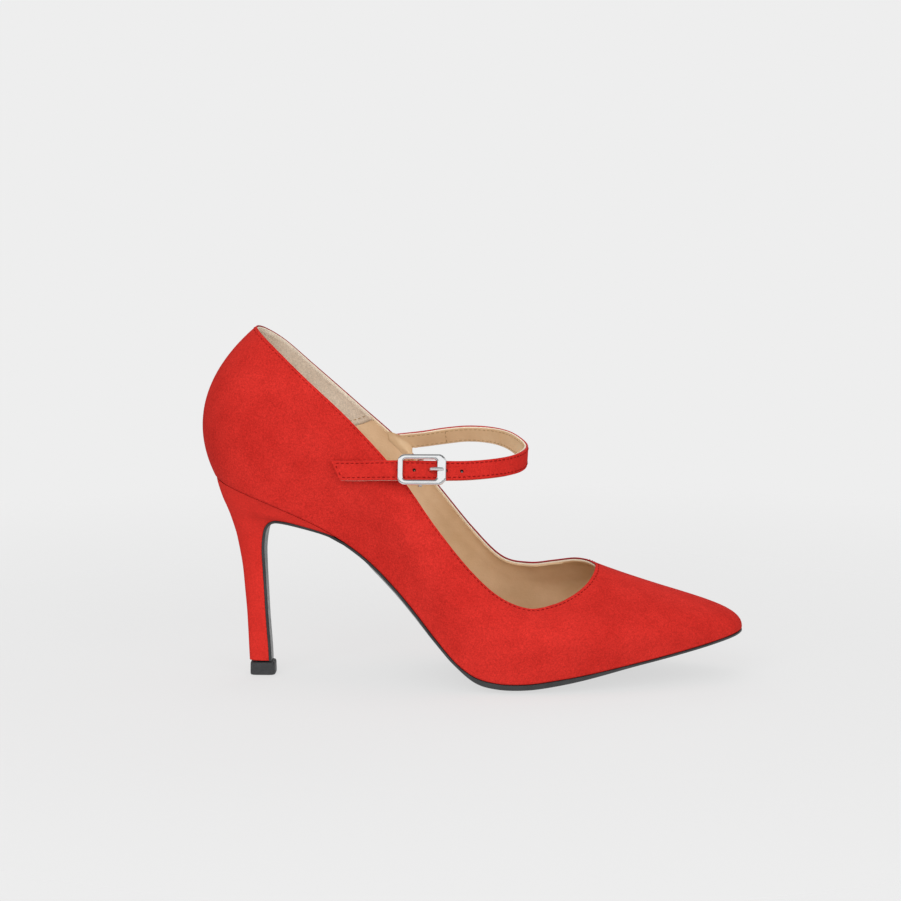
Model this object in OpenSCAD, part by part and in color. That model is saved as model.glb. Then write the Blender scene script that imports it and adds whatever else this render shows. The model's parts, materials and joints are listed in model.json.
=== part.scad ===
// High-heeled pump with an instep strap, right shoe.
// +X runs to the toe, +Y to the inner side of the foot, +Z up.
// The origin is the centre of the heel tip's flat bottom.

/* [Upper] */
// Thickness of the suede upper
upper_t = 1.2; // [1.0:0.1:1.4]
// Thickness of the toe puff, heel counter, backers and topline tape
stiffener_t = 0.8; // [0.5:0.1:0.9]
// Thickness of the lining leather
lining_t = 0.8; // [0.6:0.1:0.9]
// Width of the lasting margin turned under the insole
margin_w = 12; // [8:1:13]

/* [Bottom] */
// Thickness of the insole board
insole_t = 2.2; // [1.8:0.1:2.4]
// Thickness of the foam under the sock lining
cushion_t = 1.0; // [0.8:0.1:1.2]
// Thickness of the sock lining
sock_t = 0.8; // [0.6:0.1:0.9]
// Thickness of the outsole at the waist and down the heel breast
sole_t = 1.2; // [1.0:0.1:1.4]
// Extra outsole thickness under the ball of the foot
tread_extra = 1.4; // [1.1:0.1:1.6]
// Width of the steel shank
shank_w = 9.5; // [8:0.5:10]

/* [Heel] */
// Thickness of the suede wrapped round the heel
cover_t = 0.9; // [0.7:0.1:1.0]
// Length of the heel tip
tip_len = 11; // [10.6:0.1:11.2]
// Width of the heel tip
tip_w = 9.4; // [9.0:0.1:10.0]
// Height of the heel tip
tip_h = 5.7; // [5.4:0.1:5.7]

/* [Strap and buckle] */
// Thickness of the strap's suede face
strap_face_t = 1.0; // [0.8:0.1:1.0]
// Thickness of the strap's leather lining
strap_back_t = 0.7; // [0.5:0.1:0.7]
// Radius of the punched holes
hole_r = 0.95; // [0.95:0.01:1.1]
// Distance between the punched holes
hole_pitch = 6.6; // [6.0:0.1:6.8]
// Length of the buckle frame
buckle_len = 20.4; // [20:0.1:21]
// Height of the buckle frame
buckle_h = 13; // [12.8:0.1:13.4]
// Thickness of the buckle frame
buckle_t = 1.8; // [1.6:0.1:1.9]
// Radius of the buckle's centre bar
bar_r = 0.8; // [0.75:0.01:0.8]

/* [Hidden] */
$fn = 48;
gap = 0.1;
eps = 0.02;
step = 0.5;

// Side profile of the line where the upper meets the sole and the heel seat, heel to toe: [x, z].
SEAT_LINE = [[-20.2, 87.1], [-14.2, 85.1], [-1, 80.4], [16, 73.2], [27, 67.8], [38, 61], [48, 53.3], [59, 42.2],
             [67.5, 32.3], [76, 21.7], [84, 12.7], [92, 6.9], [101, 4.4], [114, 4], [126, 5.3], [138, 7],
             [160, 11], [178, 14.3], [194, 17.4], [207.6, 20.5]];
// Plan of the same line, stations from the toe tip to the back of the heel: [x, y].
FEATHER_OUTER = [[207.6, 6], [204.4, -2.6], [194.6, -9.6], [178, -18], [160, -25], [138, -31.2], [114, -35.4],
                 [92, -34.2], [76, -30.4], [59, -25.6], [38, -22.2], [16, -22.6], [-1, -21.8], [-14.2, -14.6],
                 [-20.2, 0]];
FEATHER_INNER = [[204.4, 14.2], [194.6, 20.6], [178, 28.2], [160, 34.4], [140, 38], [118, 38.4], [96, 34.2],
                 [78, 27.6], [60, 21.2], [38, 18.6], [16, 20.6], [-1, 21], [-14.2, 14.4]];
// Topline from the throat round to the top of the back, at the same stations: [x, y, z].
TOPLINE_OUTER = [[143.8, 3.6, 48.2], [142.8, -3.4, 46], [139.6, -10, 42.6], [134, -16.6, 39.2], [126, -22.6, 36.4],
                 [115, -27.4, 35.4], [102.5, -30, 41], [90, -30, 52.6], [76, -28.8, 70], [60, -26.8, 92.4],
                 [40, -25.6, 114.4], [20.6, -23.2, 132.4], [8.6, -18.4, 143.4], [0.9, -10.6, 149.9],
                 [-1.9, 0, 152.2]];
TOPLINE_INNER = [[142.9, 10.6, 48.2], [140, 17, 48.4], [134.6, 22.6, 48], [126.4, 27, 46.2], [115, 29.8, 44.6],
                 [103, 30.2, 47.4], [90, 29.2, 60.4], [76, 27.2, 78], [60, 25.6, 97.6], [40, 25, 115.8],
                 [20.6, 23, 133.2], [8.6, 18.4, 144.4], [0.9, 10.6, 150.4]];
// Shape of the wall at each station: [handle at the sole, flare, handle at the topline, lean], mm and degrees.
WALL = [[11.2, 8, 42, 70], [11.2, 8, 38, 68], [11.8, 10, 32, 66], [12, 12, 28, 64], [13, 14, 24, 62], [14, 14, 21, 58],
        [12, 14, 16, 48], [16, 10, 16, 36], [22, 6, 20, 26], [26, 4, 24, 20], [26, 6, 24, 14], [28, 8, 22, 14],
        [28, 13, 24, 20], [26, 21, 28, 36], [24, 27, 32, 50]];

// Heights up the wall, as shares of it, that every layer uses.
LEVELS = [0, 0.07, 0.17, 0.3, 0.44, 0.58, 0.71, 0.83, 0.92, 1];
puff_top = 6;
counter_top = 7;
tape_foot = 8;

lining_d = upper_t + 2 * gap + stiffener_t;
inside_d = lining_d + lining_t;
bed = 0.3;
insole_h = upper_t + bed + gap;
cushion_h = insole_h + insole_t + 2 * gap;
sock_h = cushion_h + cushion_t + gap;

back_station = 14;
loop_len = 28;
seam_station = 10;
wing_station = 10.25;

function wrap(i, n) = ((i % n) + n) % n;
function blend4(a, b, c, d, f) =
    0.5 * (2 * b + (c - a) * f + (2 * a - 5 * b + 4 * c - d) * f * f + (3 * b - a - 3 * c + d) * f * f * f);
// A point at parameter t on a closed loop of stations, and on an open line of them.
function loop_at(p, t) =
    let (n = len(p), i = floor(t))
    blend4(p[wrap(i - 1, n)], p[wrap(i, n)], p[wrap(i + 1, n)], p[wrap(i + 2, n)], t - i);
function line_at(p, t) =
    let (n = len(p), i = min(max(floor(t), 0), n - 2),
         a = i > 0 ? p[i - 1] : 2 * p[0] - p[1],
         d = i < n - 2 ? p[i + 2] : 2 * p[n - 1] - p[n - 2])
    blend4(a, p[i], p[i + 1], d, t - i);
function both_sides(outer, inner) = concat(outer, [for (i = [len(inner) - 1:-1:0]) inner[i]]);
function unit(v) = v / norm(v);

FEATHER = both_sides(FEATHER_OUTER, FEATHER_INNER);
TOPLINE = both_sides(TOPLINE_OUTER, TOPLINE_INNER);
WALLS = both_sides(WALL, [for (i = [1:len(WALL) - 2]) WALL[i]]);

// Height and slope of the seat line at x, as a curve through its points.
function slope_between(i) =
    (SEAT_LINE[i + 1][1] - SEAT_LINE[i][1]) / (SEAT_LINE[i + 1][0] - SEAT_LINE[i][0]);
function knot_slope(i) =
    i <= 0 ? slope_between(0)
    : i >= len(SEAT_LINE) - 1 ? slope_between(len(SEAT_LINE) - 2)
    : (slope_between(i - 1) + slope_between(i)) / 2;
KNOT_SLOPES = [for (i = [0:len(SEAT_LINE) - 1]) knot_slope(i)];
function segment_of(x) = max([for (i = [0:len(SEAT_LINE) - 2]) i == 0 || x >= SEAT_LINE[i][0] ? i : 0]);
function seat_z(x) =
    let (i = segment_of(x), w = SEAT_LINE[i + 1][0] - SEAT_LINE[i][0], s = (x - SEAT_LINE[i][0]) / w,
         a = SEAT_LINE[i][1], b = SEAT_LINE[i + 1][1], m = KNOT_SLOPES[i] * w, n = KNOT_SLOPES[i + 1] * w)
    a + s * (m + s * (3 * (b - a) - 2 * m - n + s * (m + n - 2 * (b - a))));
function seat_slope(x) = (seat_z(x + 0.1) - seat_z(x - 0.1)) / 0.2;
// A point h above the seat surface at plan position p, measured square to it.
function over_seat(p, h) =
    let (k = seat_slope(p[0]), l = sqrt(1 + k * k))
    [p[0] - h * k / l, p[1], seat_z(p[0]) + h / l];

function plan_out(loop, t) =
    let (d = loop_at(loop, t + eps) - loop_at(loop, t - eps), l = norm([d[0], d[1]]))
    [-d[1] / l, d[0] / l];
function edge(t, inset) = loop_at(FEATHER, t) - inset * plan_out(FEATHER, t);

// The wall of the last: a cubic from the feather edge up to the topline.
function wall_handles(t) =
    let (s = loop_at(WALLS, t), f = over_seat(loop_at(FEATHER, t), 0), p = loop_at(TOPLINE, t),
         a = plan_out(FEATHER, t), b = plan_out(TOPLINE, t))
    [f,
     f + s[0] * [a[0] * sin(s[1]), a[1] * sin(s[1]), cos(s[1])],
     p + s[2] * [b[0] * sin(s[3]), b[1] * sin(s[3]), -cos(s[3])],
     p];
function cubic(c, v) =
    let (w = 1 - v)
    w * w * w * c[0] + 3 * w * w * v * c[1] + 3 * w * v * v * c[2] + v * v * v * c[3];
function cubic_dir(c, v) =
    let (w = 1 - v)
    w * w * (c[1] - c[0]) + 2 * w * v * (c[2] - c[1]) + v * v * (c[3] - c[2]);
// One column of points, each set d inside the wall's outer face.
function column(t, levels, d) =
    let (c = wall_handles(t), a = wall_handles(t - eps), b = wall_handles(t + eps))
    [for (v = levels)
        let (up = cubic_dir(c, v), along = cubic(b, v) - cubic(a, v))
        cubic(c, v) - d * unit(cross(up, along))];

// The margin turned under: from the feather edge towards the middle of the sole.
function spine_at(t) =
    let (k = min(max(t <= back_station ? t : loop_len - t, 2.2), 12.2))
    (loop_at(FEATHER, k) + loop_at(FEATHER, loop_len - k)) / 2;
function turned(t, reach, h) =
    let (f = loop_at(FEATHER, t), m = spine_at(t), share = min(0.8, reach / norm(m - f)))
    over_seat(f + share * (m - f), h);

// Closed skin between two equal grids of points. front faces along rows crossed with columns.
module skin(front, back, round = false) {
    n = len(front);
    m = len(front[0]);
    last = round ? n : n - 1;
    points = concat([for (r = front, p = r) p], [for (r = back, p = r) p]);
    faces = concat(
        [for (i = [0:last - 1], j = [0:m - 2])
            let (k = (i + 1) % n, a = i * m + j, b = a + 1, c = k * m + j + 1, d = k * m + j, o = n * m)
            each [[a, c, b], [a, d, c], [o + a, o + b, o + c], [o + a, o + c, o + d]]],
        [for (i = [0:last - 1])
            let (k = (i + 1) % n, o = n * m, a = i * m, d = k * m, b = a + m - 1, c = d + m - 1)
            each [[d, a, o + a], [d, o + a, o + d], [b, c, o + c], [b, o + c, o + b]]],
        round ? [] : [for (j = [0:m - 2])
            let (o = n * m, a = j, e = (n - 1) * m + j)
            each [[a, a + 1, o + a + 1], [a, o + a + 1, o + a],
                  [e + 1, e, o + e], [e + 1, o + e, o + e + 1]]]);
    polyhedron(points = points, faces = faces, convexity = 10);
}

// Solid between an upper and a lower grid of rows, with a pointed nose and tail.
module slab(top, low, nose, tail) {
    n = len(top);
    m = len(top[0]);
    o = n * m;
    s = 2 * o;
    z = (n - 1) * m;
    points = concat([for (r = top, p = r) p], [for (r = low, p = r) p], nose, tail);
    e = s + len(nose);
    faces = concat(
        [for (i = [0:n - 2], j = [0:m - 2])
            let (a = i * m + j, b = a + 1, c = a + m + 1, d = a + m)
            each [[a, c, b], [a, d, c], [o + a, o + b, o + c], [o + a, o + c, o + d]]],
        [for (i = [0:n - 2])
            let (a = i * m, d = a + m, b = a + m - 1, c = d + m - 1)
            each [[d, a, o + a], [d, o + a, o + d], [b, c, o + c], [b, o + c, o + b]]],
        len(nose) == 0
            ? [for (j = [0:m - 2]) each [[j, j + 1, o + j + 1], [j, o + j + 1, o + j]]]
            : concat([for (j = [0:m - 2]) each [[j, j + 1, s], [o + j + 1, o + j, s + 1]]],
                     [[0, s, s + 1], [0, s + 1, o], [s, m - 1, o + m - 1], [s, o + m - 1, s + 1]]),
        len(tail) == 0
            ? [for (j = [0:m - 2])
                each [[z + j + 1, z + j, o + z + j], [z + j + 1, o + z + j, o + z + j + 1]]]
            : concat([for (j = [0:m - 2]) each [[z + j + 1, z + j, e], [o + z + j, o + z + j + 1, e + 1]]],
                     [[e, z, o + z], [e, o + z, e + 1], [z + m - 1, e, e + 1],
                      [z + m - 1, e + 1, o + z + m - 1]]));
    polyhedron(points = points, faces = faces, convexity = 10);
}

// A row of plan points from the outer to the inner side at station k, inset from the edge.
function plan_row(k, inset, cuts) =
    let (a = edge(k, inset), b = edge(loop_len - k, inset))
    [for (j = [0:cuts]) a + (b - a) * j / cuts];

// A layer of the bottom between two stations and two heights over the seat surface.
module bottom_layer(from, to, inset, low, high, cuts = 4, row = step) {
    whole_nose = from == 0;
    whole_tail = to == back_station;
    ks = [for (k = [from + (whole_nose ? row : 0):row:to - (whole_tail ? row : 0)]) k];
    top = [for (k = ks) [for (p = plan_row(k, inset, cuts)) over_seat(p, high)]];
    under = [for (k = ks) [for (p = plan_row(k, inset, cuts)) over_seat(p, low)]];
    nose = whole_nose ? [over_seat(edge(0, inset), high), over_seat(edge(0, inset), low)] : [];
    tail = whole_tail
        ? [over_seat(edge(back_station, inset), high), over_seat(edge(back_station, inset), low)]
        : [];
    slab(top, under, nose, tail);
}

// A layer of the wall between two stations and two depths behind the outer face.
module wall_layer(from, to, levels, near, far) {
    ts = [for (t = [from:step:to]) t];
    skin([for (t = ts) column(t, levels, near)], [for (t = ts) column(t, levels, far)]);
}
function levels_between(a, b) = [for (i = [a:b]) LEVELS[i]];

module upper() {
    ts = [for (t = [0:step:loop_len - step]) t];
    outer = [for (t = ts)
        concat([turned(t, margin_w, 0), turned(t, margin_w / 2, 0), turned(t, 0.5, 0)],
               column(t, levels_between(1, 9), 0))];
    inner = [for (t = ts)
        concat([turned(t, margin_w, upper_t), turned(t, margin_w / 2, upper_t), turned(t, 1.9, upper_t)],
               column(t, levels_between(1, 9), upper_t))];
    color("#c8382c") skin(outer, inner, round = true);
}

module vamp_lining() {
    color("#c19a6b")
    wall_layer(loop_len - seam_station, loop_len + seam_station, levels_between(1, 9), lining_d, inside_d);
}

module heel_lining() {
    joint = 0.02;
    ts = concat([seam_station + joint], [for (t = [seam_station + step:step:loop_len - seam_station - step]) t],
                [loop_len - seam_station - joint]);
    color("#bda890")
    skin([for (t = ts) column(t, levels_between(1, 9), lining_d)],
         [for (t = ts) column(t, levels_between(1, 9), inside_d)]);
}

module toe_puff() {
    color("#e8e0c8")
    wall_layer(loop_len - 4, loop_len + 4, levels_between(1, puff_top), upper_t + gap, upper_t + gap + stiffener_t);
}

module heel_counter() {
    color("#d8c8a8")
    wall_layer(10.5, 17.5, levels_between(1, counter_top), upper_t + gap, upper_t + gap + stiffener_t);
}

module upper_backers() {
    color("#f0ece0")
    for (ends = [[4.5, 10], [18, 23.5]])
        wall_layer(ends[0], ends[1], levels_between(1, counter_top), upper_t + gap, upper_t + gap + stiffener_t);
}

module topline_tape() {
    ts = [for (t = [0:step:loop_len - step]) t];
    levels = levels_between(tape_foot, 9);
    color("#ffffff")
    skin([for (t = ts) column(t, levels, upper_t + gap)],
         [for (t = ts) column(t, levels, upper_t + gap + stiffener_t)], round = true);
}

// Places of the fastenings along the middle of the seat.
screw_x = 4.2;
rivet_xs = [14, 72];
nail_places = [[-4, -4.4], [-4, 4.4], [7, -7.4], [7, 7.4]];
screw_r = 2;
screw_head_r = 3.5;
screw_head_h = 1.6;
screw_len = 14;
rivet_r = 1.5;
nail_r = 0.9;
nail_head_r = 1.8;
nail_len = 6.5;
nail_head_h = 0.9;
shank_t = 0.9;

// Puts its children on the seat at plan point p, with +Z square to the seat.
module on_seat(p, h = 0) {
    translate(over_seat(p, h)) rotate([0, -atan(seat_slope(p[0])), 0]) children();
}
module post(r, low, high) {
    translate([0, 0, low]) cylinder(r = r, h = high - low);
}

module insole_board() {
    color("#b08a60")
    difference() {
        bottom_layer(0, back_station, 4.4, insole_h, insole_h + insole_t);
        on_seat([screw_x, 0]) post(screw_head_r + gap, 0, 8);
        for (x = rivet_xs)
            on_seat([x, 0]) post(rivet_r + gap / 2, 0, 8);
        for (p = nail_places)
            translate([p[0], p[1], seat_z(p[0])]) post(nail_head_r + gap, -1, 8);
    }
}

module steel_shank() {
    xs = [for (x = [-0.5:3.38:84.1]) x];
    w = shank_w / 2;
    color("#8a8d90")
    difference() {
        slab([for (x = xs) [for (y = [w, -w]) over_seat([x, y], bed + shank_t)]],
             [for (x = xs) [for (y = [w, -w]) over_seat([x, y], bed)]], [], []);
        on_seat([screw_x, 0]) post(screw_r + gap / 2, -2, 4);
        for (x = rivet_xs)
            on_seat([x, 0]) post(rivet_r + gap / 2, -2, 4);
    }
}

module shank_rivets() {
    color("#c0c0c0")
    for (x = rivet_xs)
        on_seat([x, 0]) post(rivet_r, bed, insole_h + insole_t);
}

module bottom_filler() {
    color("#9a7b52")
    bottom_layer(3, 7, 15, bed, upper_t);
}

module sock_cushion() {
    color("#f2e6b8")
    bottom_layer(2.5, back_station, 6.2, cushion_h, cushion_h + cushion_t);
}

module sock_lining() {
    color("#c6a27a")
    bottom_layer(2.5, back_station, 5.2, sock_h, sock_h + sock_t);
}

// Heel breast: outer-side edge from the tip of the wing round the arch and down to the heel tip: [x, half width, z].
BREAST = [[32.5, 20.6, 64.3], [26.5, 19.9, 66.4], [18, 18.6, 68.5], [10.5, 16.4, 69.8], [5.4, 13.6, 69.6],
          [2, 10.8, 66.9], [0.4, 8.4, 62.4], [-0.3, 6.4, 55.6], [-0.1, 5.2, 47.5], [0.4, 4.7, 37], [0.8, 4.5, 28],
          [1.3, 4.4, 20], [1.8, 4.4, 12.9], [2.1, 4.4, 6.1]];
// Back of the heel at the same points: [x, z].
HEEL_BACK = [[-20.2, 87.1], [-19, 82.7], [-17.5, 78.8], [-15.9, 75], [-14.4, 71], [-12.6, 65.3], [-11.5, 61],
             [-10.3, 54.6], [-9.2, 47.5], [-8.3, 37], [-7.6, 28], [-7.2, 20], [-6.9, 12.9], [-6.6, 6.1]];
HEEL_SQUARE = [2.9, 2.8, 2.6, 2.4, 2.3, 2.2, 2.1, 2, 2, 2, 2, 2, 2, 2];
heel_levels = 26;
heel_cuts = 24;

// A point of the heel's outer face: s runs from the outer edge of the breast round the back to
// the inner edge, u from the heel tip (0) up to the seat (1), d is a depth behind the face.
function heel_face(s, u, d) =
    let (k = (1 - u) * (len(BREAST) - 1), b = line_at(BREAST, k), r = line_at(HEEL_BACK, k),
         e = 2 / line_at(HEEL_SQUARE, k), side = s < 0.5 ? -1 : 1,
         f = pow(sin(180 * s), e), g = pow(abs(cos(180 * s)), e), w = b[1] - d,
         ring = [b[0] + (r[0] + d - b[0]) * f, side * w * g, b[2] + (r[1] - b[2]) * f],
         t = wing_station + (loop_len - 2 * wing_station) * s, top = over_seat(edge(t, 0.3 + d), -bed),
         m = max(0, (u - 0.8) / 0.2), blend = m * m * (3 - 2 * m))
    ring + blend * (top - ring) + [0, 0, 1.4 * blend * (1 - blend)];

module heel_block() {
    n = heel_cuts + 1;
    m = heel_levels + 1;
    half = heel_cuts / 2;
    points = [for (i = [0:heel_cuts], j = [0:heel_levels]) heel_face(i / heel_cuts, j / heel_levels, cover_t + gap)];
    top = m - 1;
    faces = concat(
        [for (i = [0:heel_cuts - 1], j = [0:heel_levels - 1])
            let (a = i * m + j, b = a + 1, c = a + m + 1, d = a + m)
            each [[a, c, b], [a, d, c]]],
        [for (j = [0:heel_levels - 1])
            let (a = j, b = j + 1, e = heel_cuts * m + j)
            each [[a, b, e + 1], [a, e + 1, e]]],
        [for (i = [0:half - 2])
            let (a = i * m, b = a + m, c = (heel_cuts - i - 1) * m, d = c + m)
            each [[a + top, b + top, c + top], [a + top, c + top, d + top], [a, c, b], [a, d, c]]],
        [let (a = (half - 1) * m, b = half * m, c = (half + 1) * m)
            each [[a + top, b + top, c + top], [a, c, b]]]);
    color("#3a2a20")
    difference() {
        polyhedron(points = points, faces = faces, convexity = 10);
        dowel_place() post(dowel_r + gap / 2, -2, dowel_len + gap);
        on_seat([screw_x, 0]) post(screw_r + gap / 2, -screw_len - gap, 4);
        for (p = nail_places)
            translate([p[0], p[1], seat_z(p[0])]) post(nail_r + gap / 2, -nail_len - gap, 4);
    }
}

module heel_cover() {
    us = [for (j = [0:heel_levels]) j / heel_levels];
    color("#d23a30")
    skin([for (i = [0:heel_cuts]) [for (u = us) heel_face(i / heel_cuts, u, 0)]],
         [for (i = [0:heel_cuts]) [for (u = us) heel_face(i / heel_cuts, u, cover_t)]]);
}

dowel_r = 1.9;
dowel_bore_r = 1.25;
dowel_len = 44;
dowel_foot = [-1.7, 0, 6.2];
dowel_lean = 3.6;
pin_r = 1.2;
pin_foot = 2.5;
pin_len = 14;

module dowel_place() {
    translate(dowel_foot) rotate([0, -dowel_lean, 0]) children();
}

module heel_dowel() {
    color("#9a9da0")
    dowel_place() difference() {
        post(dowel_r, 0, dowel_len);
        post(dowel_bore_r, -1, dowel_len + 1);
    }
}

module heel_screw() {
    color("#b8bcc0")
    on_seat([screw_x, 0]) {
        post(screw_r, -screw_len, bed + shank_t + gap);
        post(screw_head_r, bed + shank_t + gap, bed + shank_t + gap + screw_head_h);
    }
}

module heel_nails() {
    color("#a8a8a8")
    for (p = nail_places)
        translate([p[0], p[1], seat_z(p[0])]) {
            post(nail_r, -nail_len, 2.2);
            post(nail_head_r, 2.2, 2.2 + nail_head_h);
        }
}

module rounded_box(l, w, h, r) {
    linear_extrude(h) {
        square([l - 2 * r, w], center = true);
        square([l, w - 2 * r], center = true);
        for (x = [-1, 1], y = [-1, 1])
            translate([x * (l / 2 - r), y * (w / 2 - r)]) circle(r);
    }
}

tip_shift = -0.7;
module top_piece() {
    color("#404244")
    difference() {
        translate([tip_shift, 0, 0]) rounded_box(tip_len, tip_w, tip_h, 1.6);
        dowel_place() post(pin_r + gap / 2, pin_foot - dowel_foot[2] - gap, tip_h + 2);
    }
}

module top_piece_pin() {
    color("#b0b4b8")
    dowel_place() post(pin_r, pin_foot - dowel_foot[2], pin_foot - dowel_foot[2] + pin_len);
}

// Outsole: from the toe tip to the heel wing it fills the feather outline, then it
// narrows, bends round the arch and runs down the heel breast.
sole_edge_inset = 0.3;
sole_cuts = 8;
flat_at = [84, 136];
function tread_share(x) =
    let (s = min(1, max(0, (x - flat_at[0]) / 14)), e = min(1, max(0, (flat_at[1] + 30 - x) / 45)))
    s * s * (3 - 2 * s) * e * e * (3 - 2 * e);
function waist_share(x) =
    let (s = min(1, max(0, (x - 36) / 16)), e = min(1, max(0, (94 - x) / 16)))
    s * s * (3 - 2 * s) * e * e * (3 - 2 * e);
function sole_depth(x, e) =
    sole_t + tread_extra * tread_share(x) + (2.2 * tread_share(x) + 3 * waist_share(x)) * (1 - e * e);
function on_ground(p) = [p[0], p[1], max(0, p[2])];
function sole_row(k, low) =
    [for (j = [0:sole_cuts])
        let (p = plan_row(k, sole_edge_inset, sole_cuts)[j], e = abs(2 * j / sole_cuts - 1))
        on_ground(over_seat(p, low ? -gap - sole_depth(p[0], e) : -gap))];
function breast_row(k, depth) =
    let (b = line_at(BREAST, k), a = line_at(BREAST, max(0, k - eps)), c = line_at(BREAST, min(13, k + eps)),
         d = unit([c[0] - a[0], c[2] - a[2]]), w = b[1] - 0.1)
    [for (j = [0:sole_cuts])
        [b[0] - d[1] * depth, w * (2 * j / sole_cuts - 1), b[2] + d[0] * depth]];

module outsole() {
    front = [for (k = [step:step:10]) k];
    breast = [for (k = [0.5:0.5:13]) k];
    top = concat([for (k = front) sole_row(k, false)], [for (k = breast) breast_row(k, gap)]);
    low = concat([for (k = front) sole_row(k, true)], [for (k = breast) breast_row(k, gap + sole_t)]);
    tip = edge(0, sole_edge_inset);
    color("#3c3e40")
    slab(top, low, [over_seat(tip, -gap), over_seat(tip, -gap - sole_t)], []);
}

// Strap: its two edges from the root on the inner quarter, round the instep and through
// the buckle to the free end: [top x, y, z, low x, y, z].
STRAP = [[56.6, 24.9, 102.6, 62.4, 28.2, 96.3], [68, 24.6, 104, 69.4, 29.5, 97.2], [77.2, 24.3, 105.5, 78, 29, 98.4],
         [87.5, 23.2, 106.6, 87.8, 28, 99.6], [97.6, 19.6, 106.6, 97.5, 24, 99.4], [105.8, 13.6, 105.6, 105, 17, 98],
         [111.4, 5.6, 103.6, 110.6, 7, 95.6], [114.5, -3, 101.4, 114, -3.2, 93], [112.4, -11, 99.9, 112.3, -13, 91.7],
         [106.6, -18.4, 98.9, 106.8, -21.6, 91.2], [98.2, -24.2, 98.4, 98.5, -27.9, 91], [88.4, -28, 98.2, 88.5, -31.6, 90.7],
         [77.6, -30.4, 98.5, 77.8, -33.5, 90.7], [65.2, -30.7, 98.7, 65.2, -33.7, 90.8], [52.6, -30.7, 98.6, 52.6, -33.7, 90.7],
         [42, -30.4, 98.3, 42.2, -33.2, 90.4], [31.8, -29.3, 98.2, 35.9, -32.1, 90.2]];
strap_steps = 48;
strap_cuts = 3;
strap_tape_t = 0.2;

function strap_point(q, w, d) =
    let (a = line_at(STRAP, q), b = line_at(STRAP, q - 0.05), c = line_at(STRAP, q + 0.05),
         top = [a[0], a[1], a[2]], low = [a[3], a[4], a[5]],
         along = [c[0] + c[3] - b[0] - b[3], c[1] + c[4] - b[1] - b[4], c[2] + c[5] - b[2] - b[5]],
         out = unit(cross(top - low, along)))
    top + (low - top) * w - out * d;

module strap_layer(near, far, side = 0) {
    qs = [for (i = [0:strap_steps]) 0.06 + (len(STRAP) - 1.06) * i / strap_steps];
    ws = [for (j = [0:strap_cuts]) 1 - side - (1 - 2 * side) * j / strap_cuts];
    skin([for (q = qs) [for (w = ws) strap_point(q, w, near)]],
         [for (q = qs) [for (w = ws) strap_point(q, w, far)]]);
}
module punched() {
    difference() {
        children();
        buckle_place()
            for (i = [-2:2])
                translate([prong_x + i * hole_pitch, 0, 0]) post(hole_r, -12, 4);
    }
}

module strap_face() {
    color("#cc3a2e")
    punched() strap_layer(0, strap_face_t);
}
module strap_tape() {
    color("#ffffff")
    punched() strap_layer(strap_face_t + 0.05, strap_face_t + 0.05 + strap_tape_t, 0.2);
}
module strap_back() {
    depth = strap_face_t + strap_tape_t + 0.1;
    color("#c19a6b")
    punched() strap_layer(depth, depth + strap_back_t);
}

// Buckle frame of reference: X along the strap, Y across it, Z square to it and outwards.
buckle_at = [70.2, -33.2, 95.1];
buckle_lean = 20.5;
bar_x = -0.9;
bar_n = -5.15;
prong_x = 3.4;
bar_len = 12.8;
window_h = 9.6;
ear_w = 1.5;
prong_r = 0.7;

module buckle_place() {
    translate(buckle_at) rotate([90 - buckle_lean, 0, 0]) children();
}
module bar_place() {
    translate([bar_x, 0, bar_n]) rotate([90, 0, 0]) children();
}

module buckle_frame() {
    left = -buckle_len / 2;
    corner = 2.4;
    color("#d8dadc")
    buckle_place() difference() {
        union() {
            translate([0, 0, -buckle_t / 2]) rounded_box(buckle_len, buckle_h, buckle_t, corner);
            for (side = [-1, 1])
                translate([bar_x, side * (window_h / 2 + ear_w / 2 + 0.05), 0])
                    bar_ear();
        }
        translate([left + 2.3, -window_h / 2, -2]) cube([buckle_len - 2.3 - 3.9, window_h, 4]);
        bar_place() post(bar_r + gap / 2, -bar_len, bar_len);
    }
}
// One ear that drops from a rail to carry the bar.
module bar_ear() {
    rotate([90, 0, 0]) translate([0, 0, -ear_w / 2]) {
        translate([-1.7, bar_n, 0]) cube([3.4, -bar_n, ear_w]);
        translate([0, bar_n, 0]) cylinder(r = 1.7, h = ear_w);
    }
}

module buckle_bar() {
    color("#c8cacc")
    buckle_place() bar_place() post(bar_r, -bar_len / 2, bar_len / 2);
}

module buckle_prong() {
    riser = -bar_n + buckle_t / 2 + prong_r + 0.05;
    reach = buckle_len / 2 - 0.6;
    turn_r = bar_r + 0.06;
    color("#d8dadc")
    buckle_place() {
        bar_place() difference() {
            post(turn_r + 1, -0.8, 0.8);
            post(turn_r, -2, 2);
        }
        translate([bar_x + turn_r + 0.5, 0, bar_n]) rotate([0, 90, 0]) post(prong_r, 0, prong_x - bar_x - turn_r - 0.5);
        translate([prong_x, 0, bar_n]) post(prong_r, 0, riser);
        translate([prong_x, 0, bar_n]) sphere(prong_r);
        translate([prong_x, 0, bar_n + riser]) rotate([0, 90, 0]) post(prong_r, 0, reach - prong_x);
        translate([prong_x, 0, bar_n + riser]) sphere(prong_r);
        translate([reach, 0, bar_n + riser]) sphere(prong_r);
    }
}

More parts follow.
